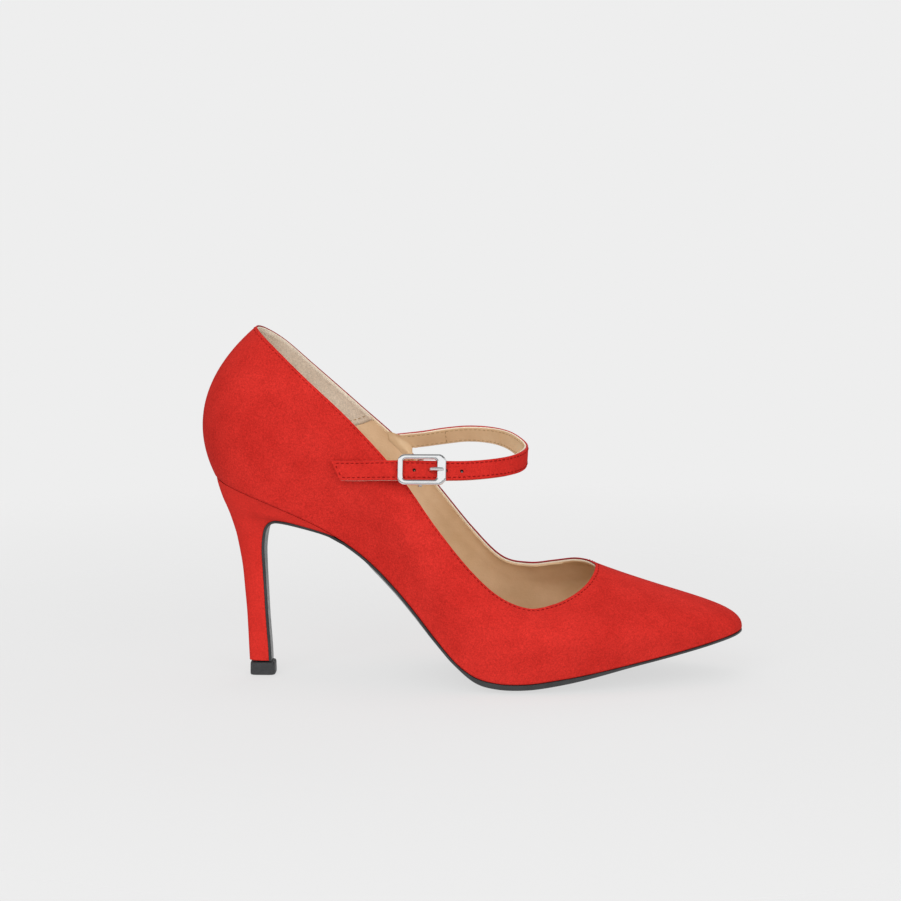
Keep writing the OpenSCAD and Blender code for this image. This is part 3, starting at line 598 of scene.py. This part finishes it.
def lining_sheet(name, stations, proud, slot, node):
    """Sheet behind the upper with a cut edge at the topline; stations(v) are its columns at height v."""
    levels = np.concatenate([np.linspace(0.05, 0.9, 44), np.linspace(0.91, 0.985, 9)])
    cols = [inside(stations(v), v, wall_depth(v) - LINING_T) for v in levels]
    start = FACE_T + 0.05
    for d, rise in ((start, -1.0), (start + 0.03, -0.42), (start + 0.12, -0.27), (start + 0.42, -0.26),
                    (start + 0.72, -0.42), (wall_depth(1) + 0.02, -1.1)):
        cols.append(lip(stations(1.0), d, rise))
    cols += [inside(stations(v), v, wall_depth(v) + proud) for v in levels[::-1]]
    kinds = [0] * len(levels) + [1] * 4 + [0] * (len(levels) + 2)
    obj = tube_object(name, np.stack(cols, 1), [MATS[slot], CREAM_EDGE], row_mats=kinds)
    fit(obj, "shoe", slot, node)


def build_linings():
    """Forepart lining, and the heel lining that laps over its two ends."""
    share = np.linspace(0, 1, 330)
    lap = 0.12

    def front(v):
        return (LOOP - seam_at(v)) + 2 * seam_at(v) * share

    def rear(v):
        return seam_at(v) - lap + (LOOP + 2 * lap - 2 * seam_at(v)) * share[::2]

    lining_sheet("vamp_lining_leather", front, 0.0, "lining_leather", "vamp_lining")
    lining_sheet("heel_grip", rear, 0.3, "heel_grip_lining", "heel_lining")


def build_strap_root():
    """Lining patch where the strap grows out of the inner quarter: it covers the topline there."""
    w = np.linspace(0.0, 0.99, 30)
    t = 18.65 + 0.59 * w
    keys = [inside(t, 0.925, wall_depth(0.93) - 0.08), inside(t, 0.96, wall_depth(0.96) + 0.22),
            lip(t, FACE_T + LINING_T + 0.35, -0.2)]
    for q, proud in ((0.1, 0.14), (0.3, 0.08), (0.5, -0.1)):
        keys.append(strap_point(q, w, STRAP_T + BACK_T + proud)[0])
    front = np.stack([line_at(key, np.linspace(0, 5, 30)) for key in np.stack(keys, 1)])
    back = front + np.array([0, 0.5, 0])
    rings = np.concatenate([front, back[:, ::-1]], 1)
    obj = tube_object("strap_root_lining", rings, [MATS["strap_lining_leather"]])
    fit(obj, "shoe", "strap_lining_leather")


def topline_row(drop, depth, t):
    """A row that follows the topline a set distance below it, on the face at a given depth."""
    length = np.linalg.norm(wall(t, 1.0) - wall(t, 0.96), axis=-1) / 0.04
    p, n, _ = wall_frame(t, 1 - drop / length)
    return p - depth * n, n


def build_seams():
    """Stitches along the topline, outside and inside, and down the two ends of the lining seam."""
    throat_end = 7.6
    throat = topline_row(1.5, 0.0, np.linspace(-throat_end, throat_end, 500))
    quarters = topline_row(1.5, 0.0, np.linspace(throat_end + 0.1, LOOP - throat_end - 0.1, 420))
    p, n = topline_row(1.6, FACE_T + LINING_T + 0.08, np.linspace(0, LOOP, 900))
    fit(sew("throat_stitches", [throat], RED_THREAD, 1.35, 0.18), "shoe", "upper_suede")
    fit(sew("quarter_stitches", [quarters], TOPLINE_THREAD, 1.35, 0.16), "shoe", "upper_suede")
    fit(sew("topline_stitches_inside", [(p, -n)], TAN_THREAD, 1.4, 0.17, 2.0), "shoe", "lining_leather")
    rows = []
    v = np.linspace(0.16, 0.975, 160)
    at = seam_at(v) + 0.02
    for t in (at, LOOP - at):
        p, n, _ = wall_frame(t, v)
        rows.append((p - (wall_depth(v) + 0.32)[:, None] * n, -n))
    fit(sew("lining_seam_stitches", rows, TAN_THREAD, 1.5, 0.17), "shoe", "heel_grip_lining")


def sock_edge(t):
    """Plan positions where the lining's inner face stands as high over the seat as the sock lining."""
    tt, vv = np.meshgrid(t, np.linspace(0.01, 0.5, 99), indexing="ij")
    p = inside(tt, vv, wall_depth(vv) - 0.2)
    k, length = seat_slope(p[..., 0])
    h = (p[..., 2] - seat_z(p[..., 0])) / length
    i = np.arange(len(t)), np.argmax(h > SOCK_TOP, axis=1)
    return np.stack([p[i][:, 0] + (h * k / length)[i], p[i][:, 1]], -1)


def build_sock():
    """Sock lining: a thin leather sheet that lies on the insole and turns up slightly at the wall."""
    ks = np.concatenate([np.linspace(2.3, 13.6, 110), np.linspace(13.65, 13.97, 8)])
    w = np.linspace(-1, 1, 33)
    a, b = sock_edge(ks), sock_edge(LOOP - ks)
    plan = across(a, b, w)
    lift = 0.5 * smooth((np.abs(w) - 0.82) / 0.18)[None, :] * np.ones((len(ks), 1))
    top = np.stack([over_seat(plan[:, j], SOCK_TOP + lift[:, j]) for j in range(len(w))], 1)
    low = np.stack([over_seat(plan[:, j], SOCK_TOP - SOCK_T + lift[:, j]) for j in range(len(w))], 1)
    rings = np.concatenate([top, low[:, ::-1]], 1)
    fit(tube_object("sock_leather", rings, [MATS["sock_leather"]]), "shoe", "sock_leather", "sock_lining")


# ---------------------------------------------------------------- outsole and heel
def tread_share(x):
    """1 under the ball of the foot, where the sole is thick and crowned."""
    return smooth((x - 84) / 14) * smooth((166 - x) / 45)


def waist_share(x):
    """1 along the arch, where the sole's underside bulges down."""
    return smooth((x - 36) / 16) * smooth((94 - x) / 16)


def build_outsole():
    """The sole's section (flat top, inked edge band, bevel, crowned bottom) carried from the toe
    to the waist, round the arch and down the heel breast."""
    k = np.concatenate([[0.004, 0.02, 0.06, 0.12, 0.2, 0.3], np.linspace(0.42, 10.05, 150)])
    taper = np.minimum(1, 0.35 + 1.3 * k)
    gap = 0.05
    # Edge band and bevel: inset from the side, share of the sole's depth.
    band = [(0.75, 0.0), (0.2, 0.01), (0.02, 0.08), (0.0, 0.3), (0.03, 0.55), (0.3, 0.82), (0.8, 0.96),
            (1.5, 1.0)]
    flap_band = [(0.75, 0.0), (0.2, 0.0), (0.02, 0.08), (0.0, 0.35), (0.02, 0.6), (0.12, 0.85), (0.4, 0.98),
                 (0.8, 1.0)]
    w = np.linspace(-1, 1, 27)[1:-1]

    def depth_of(x):
        return SOLE_T + TREAD_EXTRA * tread_share(x)

    def side_points(t):
        depth = depth_of(edge(t, 0.0)[:, 0])
        narrow = taper * (0.6 + 0.4 * depth / (SOLE_T + TREAD_EXTRA))
        return np.stack([over_seat(edge(t, inset * narrow), -gap - share * (depth - gap))
                         for inset, share in band], 1)

    def row(t_a, t_b, inset, below):
        plan = across(edge(t_a, inset * taper), edge(t_b, inset * taper), w)
        x = plan[..., 0]
        crown = (2.2 * tread_share(x) + 3.2 * waist_share(x)) * (1 - w ** 2)[None, :]
        return over_seat(plan, -(depth_of(x) + crown) if below else np.full_like(x, -gap))

    lat, med = side_points(k), side_points(LOOP - k)
    front = np.concatenate([row(k, LOOP - k, band[0][0], False), med,
                            row(LOOP - k, k, band[-1][0], True), lat[:, ::-1]], 1)
    front[..., 2] = np.maximum(front[..., 2], 0)

    last = len(BREAST) - 1
    u = np.linspace(0.35, last, 120)
    b = line_at(BREAST, u)
    c = line_at(BREAST, np.minimum(u + 0.05, last)) - line_at(BREAST, u - 0.05)
    d = unit(np.stack([c[:, 0], c[:, 2]], -1))

    def flap_side(side):
        points = []
        for narrow, share in flap_band:
            depth = 0.06 + share * SOLE_T
            points.append(np.stack([b[:, 0] - d[:, 1] * depth, side * (b[:, 1] + 0.12 - narrow),
                                    b[:, 2] + d[:, 0] * depth], -1))
        return np.stack(points, 1)

    lat, med = flap_side(-1), flap_side(1)
    rear = np.concatenate([across(lat[:, 0], med[:, 0], w), med, across(med[:, -1], lat[:, -1], w),
                           lat[:, ::-1]], 1)
    # Kind 1 is the underside, whose lighter grey is a painted reflection of the floor.
    kinds = [0] * (len(w) + len(band) - 1) + [1] * (len(w) + 1) + [0] * len(band)
    obj = tube_object("outsole_leather", np.concatenate([front, rear]), [MATS["sole_leather"], SOLE_UNDER_PAINTED_REFLECTION],
                      row_mats=kinds)
    fit(obj, "shoe", "sole_leather", "outsole")


def heel_face(s, u, d):
    """Heel cover's face: s from the outer breast edge round the back, u from the tip up, d depth."""
    s, u = np.broadcast_arrays(np.asarray(s, float), np.asarray(u, float))
    k = (1 - u) * (len(BREAST) - 1)
    b, r, e = line_at(BREAST, k), line_at(HEEL_BACK, k), 2 / line_at(HEEL_SQUARE, k)[..., 0]
    f = np.sin(np.pi * s) ** e
    g = np.abs(np.cos(np.pi * s)) ** e * np.sign(s - 0.5)
    ring = np.stack([b[..., 0] + (r[..., 0] + d - b[..., 0]) * f, (b[..., 1] - d) * g,
                     b[..., 2] + (r[..., 1] - b[..., 2]) * f], -1)
    t = WING + (LOOP - 2 * WING) * s
    top = over_seat(edge(t, 0.3 + d), -0.1)
    m = smooth((u - 0.8) / 0.2)[..., None]
    return ring + m * (top - ring)


def build_heel_cover():
    """Suede wrapped round the heel: an outer and an inner face, joined along all four edges."""
    s = np.concatenate([np.linspace(0, 0.06, 8), np.linspace(0.07, 0.93, 100), np.linspace(0.94, 1, 8)])
    sg, ug = np.meshgrid(s, np.linspace(0.004, 1, 190), indexing="ij")
    outer, inner = heel_face(sg, ug, 0.0), heel_face(sg, ug, COVER_T)
    n, m = outer.shape[:2]
    verts = np.concatenate([outer.reshape(-1, 3), inner.reshape(-1, 3)])
    o = n * m
    faces = [tuple(f) for f in grid_faces(n, m)] + [tuple(f[::-1]) for f in grid_faces(n, m, start=o)]
    for i in range(n - 1):
        for j in (0, m - 1):
            a, b = i * m + j, (i + 1) * m + j
            faces.append((a, o + a, o + b, b) if j else (a, b, o + b, o + a))
    for j in range(m - 1):
        for i in (0, n - 1):
            a = i * m + j
            faces.append((a, a + 1, o + a + 1, o + a) if i else (a, o + a, o + a + 1, a + 1))
    obj = tidy_mesh(new_object("heel_cover_suede", verts, faces, [MATS["heel_suede"]]))
    fit(obj, "shoe", "heel_suede", "heel_cover")


def build_top_piece():
    """Heel tip: a rounded block, slightly drawn in at the top, with a fine parting line."""
    lo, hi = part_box("top_piece")
    lo, hi = np.array(lo) / MM, np.array(hi) / MM
    centre, half = (lo + hi) / 2, (hi - lo) / 2
    top = hi[2] - lo[2] - 0.02
    sx, sy = rounded(full_turn(96), 5.5)
    profile = [(0.0, 4.0), (0.0, 0.55), (0.12, 0.22), (0.4, 0.04), (0.8, 0.0), (2.0, 0.0), (2.1, 0.05),
               (2.2, 0.0), (4.6, 0.06), (5.2, 0.12), (5.5, 0.28), (top, 0.55), (top, 4.0)]
    rings = [np.stack([centre[0] + sx * (half[0] - inset), centre[1] + sy * (half[1] - inset),
                       np.full_like(sx, lo[2] + z)], -1) for z, inset in profile]
    obj = tube_object("heel_tip_rubber", np.stack(rings), [MATS["top_piece_rubber"]])
    fit(obj, "shoe", "top_piece_rubber", "top_piece")


# ---------------------------------------------------------------- strap and buckle
STRAP_T = 1.0      # suede face with its turned edges
BACK_T = 0.75      # leather back
ROOT_Q = -0.12     # ends of the strap, in points of STRAP
TAIL_Q = len(STRAP) - 1
PITCH = 6.6        # between punched holes
PRONG_X = 3.4      # the prong's hole, from the middle of the buckle
BUCKLE_AT = np.array([70.2, -33.2, 95.1])
BAR_X, BAR_N = -0.9, -5.15  # the centre bar, from the middle of the buckle
tilt = next(j for j in frame["joints"] if j["name"] == "buckle_tilt")
ACROSS = unit(np.array(tilt["axis"], float))
OUTWARD = unit(np.cross([1, 0, 0], ACROSS))


def buckle_point(x, y, n):
    """Millimetre point from buckle coordinates: along the strap, across it, and outwards."""
    x, y, n = (np.asarray(v, float)[..., None] for v in (x, y, n))
    return BUCKLE_AT + x * np.array([1.0, 0, 0]) + y * ACROSS + n * OUTWARD


def strap_point(q, w, d):
    """q along the strap, w from its top edge (0) to its low edge (1), d behind its outer face."""
    q, w, d = np.broadcast_arrays(np.asarray(q, float), np.asarray(w, float), np.asarray(d, float))
    a = line_at(STRAP, q)
    c = line_at(STRAP, q + 0.08) - line_at(STRAP, q - 0.08)
    out = unit(np.cross(a[..., :3] - a[..., 3:], c[..., :3] + c[..., 3:]))
    return a[..., :3] + (a[..., 3:] - a[..., :3]) * w[..., None] - out * d[..., None], out


def strap_skin(name, section, mats, row_mats, start_trim, end_trim):
    """One layer of the strap: a section of (w, d) points carried from the root to the free end."""
    q = np.linspace(ROOT_Q + start_trim, TAIL_Q - end_trim, 620)
    rings = np.stack([strap_point(q, w, d)[0] for w, d in section], 1)
    return tube_object(name, rings, mats, row_mats=row_mats)


def strap_cutter(radius, others):
    """Five punches through the strap: the middle one, where the prong stands, has its own radius."""
    verts, faces, sides = [], [], 40
    angle = full_turn(sides)
    for k in range(-2, 3):
        base, r = len(verts), others if k else radius
        for n in (-9.0, 2.5):
            verts.extend(buckle_point(PRONG_X + k * PITCH + r * np.cos(angle), r * np.sin(angle), n))
        faces += [tuple(f) for f in grid_faces(2, sides, False, True, base)]
        faces += [tuple(range(base, base + sides))[::-1], tuple(range(base + sides, base + 2 * sides))]
    return tidy_mesh(new_object("strap_cutter", verts, faces, [HOLE_PAINTED_SHADE]))


def punch(obj, cutter):
    """Cut the holes, and give their walls the cutter's near-black painted shade."""
    mod = obj.modifiers.new("holes", "BOOLEAN")
    mod.object = cutter
    mod.operation = "DIFFERENCE"
    mod.solver = "EXACT"
    mod.material_mode = "TRANSFER"
    dg = bpy.context.evaluated_depsgraph_get()
    mesh = bpy.data.meshes.new_from_object(obj.evaluated_get(dg))
    obj.modifiers.clear()
    obj.data = mesh


def strap_face():
    """Crowned suede face, its edges turned down and showing red fibres."""
    crown = [(w, 0.12 * (2 * w - 1) ** 2) for w in np.linspace(0.07, 0.93, 25)]
    section = [(0.0, 0.62), (0.0, 0.40), (0.012, 0.22), (0.035, 0.13)] + crown
    section += [(0.965, 0.13), (0.988, 0.22), (1.0, 0.40), (1.0, 0.62)]
    section += [(0.999, STRAP_T - 0.02), (0.97, STRAP_T)]
    section += [(w, STRAP_T) for w in np.linspace(0.9, 0.1, 12)]
    section += [(0.03, STRAP_T), (0.001, STRAP_T - 0.02)]
    kinds = [1 if (w <= 0.001 or w >= 0.999) and d >= 0.4 else 0 for w, d in section]
    return strap_skin("strap_suede_face", section, [MATS["strap_suede"], RED_EDGE], kinds, 0.0, 0.0)


def strap_back():
    """Leather back with cut edges; the side against the face is near-black painted shade, so that it looks dark
    through the holes.
    """
    d0, d1 = STRAP_T + 0.04, STRAP_T + BACK_T
    section = [(0.004, d0 + 0.1), (0.02, d0)] + [(w, d0) for w in np.linspace(0.1, 0.9, 12)]
    section += [(0.98, d0), (0.996, d0 + 0.1), (0.996, d1 - 0.2), (0.985, d1 - 0.05)]
    section += [(w, d1) for w in np.linspace(0.95, 0.05, 22)] + [(0.015, d1 - 0.05), (0.004, d1 - 0.2)]
    # Kind 2, the side against the face, takes the painted shade of the holes.
    kinds = [2 if d == d0 else 1 if (w <= 0.02 or w >= 0.98) else 0 for w, d in section]
    mats = [MATS["strap_lining_leather"], CREAM_EDGE, HOLE_PAINTED_SHADE]
    return strap_skin("strap_lining", section, mats, kinds, 0.2, 0.02)


def strap_rows():
    """Stitch rows of the face and of the back: both edges, the free end, and one across the root."""
    tail, slant, edge_w = TAIL_Q - 0.13, 0.04, 0.14
    face, back = [], []
    for w, end in ((edge_w, tail), (1 - edge_w, tail - slant)):
        q = np.linspace(0.1, end, 700)
        face.append(strap_point(q, w, 0.07))
        p, out = strap_point(q, w, STRAP_T + BACK_T)
        back.append((p, -out))
    w = np.linspace(0.18, 0.82, 30)
    face.append(strap_point(tail - slant * (w - edge_w) / (1 - 2 * edge_w), w, 0.05))
    p, out = strap_point(2.05, np.linspace(0.1, 0.9, 30), STRAP_T + BACK_T)
    back.append((p, -out))
    return face, back


def build_strap():
    """The strap's two layers and their stitches."""
    face, back = strap_face(), strap_back()
    for layer, others in ((face, 0.72), (back, 0.2)):
        cutter = strap_cutter(0.74, others)
        punch(layer, cutter)
        bpy.data.objects.remove(cutter)
    face_rows, back_rows = strap_rows()
    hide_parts("strap_face", "strap_tape")
    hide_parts("strap_back")
    outer = sew("strap_stitches", face_rows, RED_THREAD, 1.5, 0.17)
    inner = sew("strap_stitches_inside", back_rows, TAN_THREAD, 1.5, 0.16)
    for obj, slot in ((face, "strap_suede"), (back, "strap_lining_leather"), (outer, "strap_suede"),
                      (inner, "strap_lining_leather")):
        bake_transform(obj)


def ray_reach(outline, centre, angle):
    """Distance from centre to a closed outline in each direction."""
    a, b = outline, np.roll(outline, -1, axis=0)
    out = []
    for t in angle:
        d = np.array([math.cos(t), math.sin(t)])
        e = b - a
        det = d[0] * -e[:, 1] + e[:, 0] * d[1]
        det = np.where(np.abs(det) < 1e-12, 1e-12, det)
        r = a - centre
        dist = (r[:, 0] * -e[:, 1] + e[:, 0] * r[:, 1]) / det
        f = (d[0] * r[:, 1] - d[1] * r[:, 0]) / det
        ok = (f >= -1e-6) & (f <= 1 + 1e-6) & (dist > 0)
        out.append(dist[ok].max())
    return np.array(out)


def frame_outline(x0, x1, half, left_r, right_cut):
    """Rectangle with rounded left corners and clipped, softened right corners."""
    pts = []
    for cx, cy, a0 in ((x0 + left_r, half - left_r, 90), (x0 + left_r, -half + left_r, 180)):
        for a in np.radians(np.linspace(a0, a0 + 90, 12)):
            pts.append((cx + left_r * math.cos(a), cy + left_r * math.sin(a)))
    soft = right_cut * 0.25
    corner = [(x1 - right_cut - soft, half), (x1 - right_cut + soft, half - soft),
              (x1 - soft, half - right_cut + soft), (x1, half - right_cut - soft)]
    return np.array(pts + [(x, -y) for x, y in corner] + corner[::-1])


def buckle_ring():
    """The frame: a softly squared section carried round between the outer and the inner outline."""
    outer = frame_outline(-10.2, 10.2, 6.5, 3.2, 2.0)
    inner = frame_outline(-7.8, 6.3, 4.4, 1.3, 0.9)
    centre = np.array([-0.85, 0.0])
    corner = [math.atan2(y, x) % (2 * math.pi) for x, y in np.vstack([outer, inner]) - centre]
    angle = np.unique(np.round(np.concatenate([full_turn(240), corner]), 5))
    far, near = ray_reach(outer, centre, angle), ray_reach(inner, centre, angle)
    out, up = rounded(full_turn(28), 3.4)
    reach = ((far + near) / 2)[:, None] + ((far - near) / 2)[:, None] * out
    x = centre[0] + reach * np.cos(angle)[:, None]
    y = reach * np.sin(angle)[:, None]
    return tube_object("buckle_ring", buckle_point(x, y, 0.9 * up), [MATS["buckle_metal"]], True)


def buckle_ear(side):
    """Lug under the frame that carries one end of the bar."""
    r = 1.35
    outline = [(BAR_X + r * math.cos(a), BAR_N + r * math.sin(a))
               for a in np.radians(np.linspace(180, 360, 24))]
    outline += [(BAR_X + r, -0.7), (BAR_X + r, -0.4), (BAR_X - r, -0.4), (BAR_X - r, -0.7)]
    outline = np.array(outline)
    rings = []
    for y, shrink in ((5.12, 0.1), (5.17, 0.03125), (5.27, 0.0), (5.87, 0.0), (5.97, 0.03125), (6.02, 0.1)):
        pts = outline + (outline.mean(0) - outline) * shrink
        rings.append(buckle_point(pts[:, 0], side * y, pts[:, 1]))
    return tube_object("buckle_ear", np.stack(rings), [MATS["buckle_metal"]])


def build_buckle():
    """The frame and its two ears as one casting."""
    parts = [buckle_ring(), buckle_ear(-1), buckle_ear(1)]
    bpy.ops.object.select_all(action="DESELECT")
    for part in parts:
        part.select_set(True)
    bpy.context.view_layer.objects.active = parts[0]
    bpy.ops.object.join()
    parts[0].name = "buckle_frame_metal"
    fit(parts[0], "buckle", "buckle_metal", "buckle_frame")


def build_prong():
    """The prong: a flat wire coiled round the bar, under the strap, up through the punched hole and
    over the right-hand bar, with a rounded, slightly flattened tip."""
    turn = 1.36
    # Along the strap, outwards, and the wire's radius.
    path = [(BAR_X + turn * math.cos(a), BAR_N + turn * math.sin(a), 0.5)
            for a in np.radians(np.linspace(-60, -350, 22))]
    path += [(BAR_X + turn + 0.35, BAR_N + 0.15, 0.62), (PRONG_X - 1.1, BAR_N + 0.1, 0.7),
             (PRONG_X - 0.35, BAR_N + 0.5, 0.7), (PRONG_X - 0.05, BAR_N + 1.5, 0.7), (PRONG_X, -1.8, 0.7),
             (PRONG_X + 0.1, 0.2, 0.68), (PRONG_X + 0.55, 1.2, 0.66), (PRONG_X + 1.5, 1.62, 0.64),
             (6.0, 1.68, 0.66), (8.0, 1.62, 0.6), (8.9, 1.52, 0.46), (9.2, 1.42, 0.2)]
    p = line_at(np.array(path), np.linspace(0, len(path) - 1, 260))
    d = unit(np.gradient(p[:, :2], axis=0))
    angle = full_turn(20)
    off = p[:, 2:] * np.sin(angle) * 0.92
    x = p[:, 0:1] - d[:, 1:2] * off
    n = p[:, 1:2] + d[:, 0:1] * off
    y = p[:, 2:] * np.cos(angle) * 1.05
    obj = tube_object("buckle_prong_metal", buckle_point(x, y, n), [MATS["buckle_metal"]])
    fit(obj, "prong", "buckle_metal", "buckle_prong")


def dress_cad_nodes():
    """Materials for the carried-over CAD nodes, from the record's own slots."""
    slots = {s["node"]: s["material_slot"] for s in frame["record"]["subparts"]}
    for name, obj in frame["nodes"].items():
        obj.data.materials.clear()
        obj.data.materials.append(MATS[slots[name]])


# ---------------------------------------------------------------- stage, light and camera
BACKDROP = 0.855          # grey level of the surroundings
MIDDLE = (0.09, 0, 0.06)  # what the lights aim at


def build_stage():
    """Pale floor that fades out, so that it has no visible rim."""
    bpy.ops.mesh.primitive_circle_add(vertices=96, radius=1.6, fill_type="NGON",
                                      location=(MIDDLE[0], MIDDLE[1], -0.0002))
    floor = bpy.context.object
    floor.name = "stage_floor"
    s = Shader("stage_floor")
    s.put(Base_Color=(0.68, 0.68, 0.68, 1), Roughness=0.95, Specular_IOR_Level=0.1)
    centre = s.node("VectorMath", Vector=s.coords)
    centre.operation = "LENGTH"
    fade = s.span(centre.outputs["Value"], 0.18, 0.55)
    clear = s.node("BsdfTransparent")
    glow = s.node("Emission", Color=(BACKDROP, BACKDROP, BACKDROP, 1))
    final = s.mix_shader(fade, s.mix_shader(0.74, s.bsdf, glow), clear)
    s.link(final.outputs[0], s.tree.nodes["Material Output"].inputs["Surface"])
    floor.data.materials.append(s.mat)


def build_world():
    """Pale backdrop for the camera, a soft dome for light, and a banded studio for mirror reflections."""
    world = bpy.data.worlds.new("studio")
    bpy.context.scene.world = world
    world.use_nodes = True
    s = Tree(world.node_tree)
    s.tree.nodes.clear()
    split = s.node("SeparateXYZ", Vector=s.node("TexCoord").outputs["Generated"])
    height = s.node("MapRange", From_Min=-1, Value=split.outputs["Z"]).outputs["Result"]

    def backdrop(stops, strength):
        node, ramp = s.node("Background", Strength=strength), s.node("ValToRGB", Fac=height)
        ends = ramp.color_ramp.elements
        for stop, (place, level) in zip((ends[0], ends[1]), (stops[0], stops[-1])):
            stop.position, stop.color = place, (level, level, level, 1)
        for place, level in stops[1:-1]:
            ends.new(place).color = (level, level, level, 1)
        return s.fill(node, Color=ramp.outputs["Color"])

    seen = backdrop([(0.0, BACKDROP), (1.0, BACKDROP)], 1.0)
    lit = backdrop([(0.0, 0.75), (0.44, 0.7), (0.52, 0.65), (0.62, 0.65), (0.78, 0.75), (1.0, 0.8)], 0.72)
    mirror = backdrop([(0.0, 0.12), (0.3, 0.5), (0.36, 0.08), (0.43, 0.1), (0.46, 0.62), (0.58, 0.66),
                       (0.61, 0.1), (0.66, 0.14), (0.7, 1.0), (0.82, 1.0), (0.86, 0.12), (1.0, 0.3)], 1.0)
    ray, out = s.node("LightPath").outputs, s.node("OutputWorld")
    final = s.mix_shader(ray["Is Camera Ray"], s.mix_shader(ray["Is Glossy Ray"], lit, mirror), seen)
    s.fill(out, Surface=final.outputs[0])


def area_light(name, place, size, power):
    """Soft box aimed at the object; mirrors don't see it."""
    data = bpy.data.lights.new(name, "AREA")
    data.shape = "RECTANGLE"
    data.size, data.size_y = size
    data.energy = power
    light = bpy.data.objects.new(name, data)
    light.location = place
    light.rotation_mode = "QUATERNION"
    light.rotation_quaternion = (Vector(MIDDLE) - Vector(place)).to_track_quat("-Z", "Y")
    light.visible_glossy = False
    bpy.context.scene.collection.objects.link(light)


def build_camera():
    """Camera beside the outer side, a little above level."""
    aim = Vector((0.081, 0.0, 0.0985))
    distance, elevation, azimuth = 1.0, math.radians(8), math.radians(2)
    field = 0.38743  # width of the view at that distance
    back = Vector((math.sin(azimuth) * math.cos(elevation), -math.cos(azimuth) * math.cos(elevation),
                   math.sin(elevation)))
    data = bpy.data.cameras.new("camera")
    data.sensor_width = 36
    data.lens = 36 * distance / field
    cam = bpy.data.objects.new("camera", data)
    cam.location = aim + back * distance
    cam.rotation_mode = "QUATERNION"
    cam.rotation_quaternion = (-back).to_track_quat("-Z", "Y")
    bpy.context.scene.collection.objects.link(cam)
    bpy.context.scene.camera = cam


build_upper()
build_linings()
build_strap_root()
build_seams()
build_sock()
build_outsole()
build_heel_cover()
build_top_piece()
build_strap()
build_buckle()
build_prong()
dress_cad_nodes()
build_stage()
build_world()
area_light("key", (-0.25, -0.95, 0.6), (0.9, 0.9), 6.8)
area_light("fill", (0.65, -0.8, 0.3), (0.8, 0.8), 3.8)
area_light("top", (0.1, 0.1, 1.2), (1.0, 0.7), 2.2)
area_light("rear", (0.1, 0.9, 0.6), (0.9, 0.6), 2.0)
build_camera()
bpy.context.scene.view_settings.view_transform = "Standard"
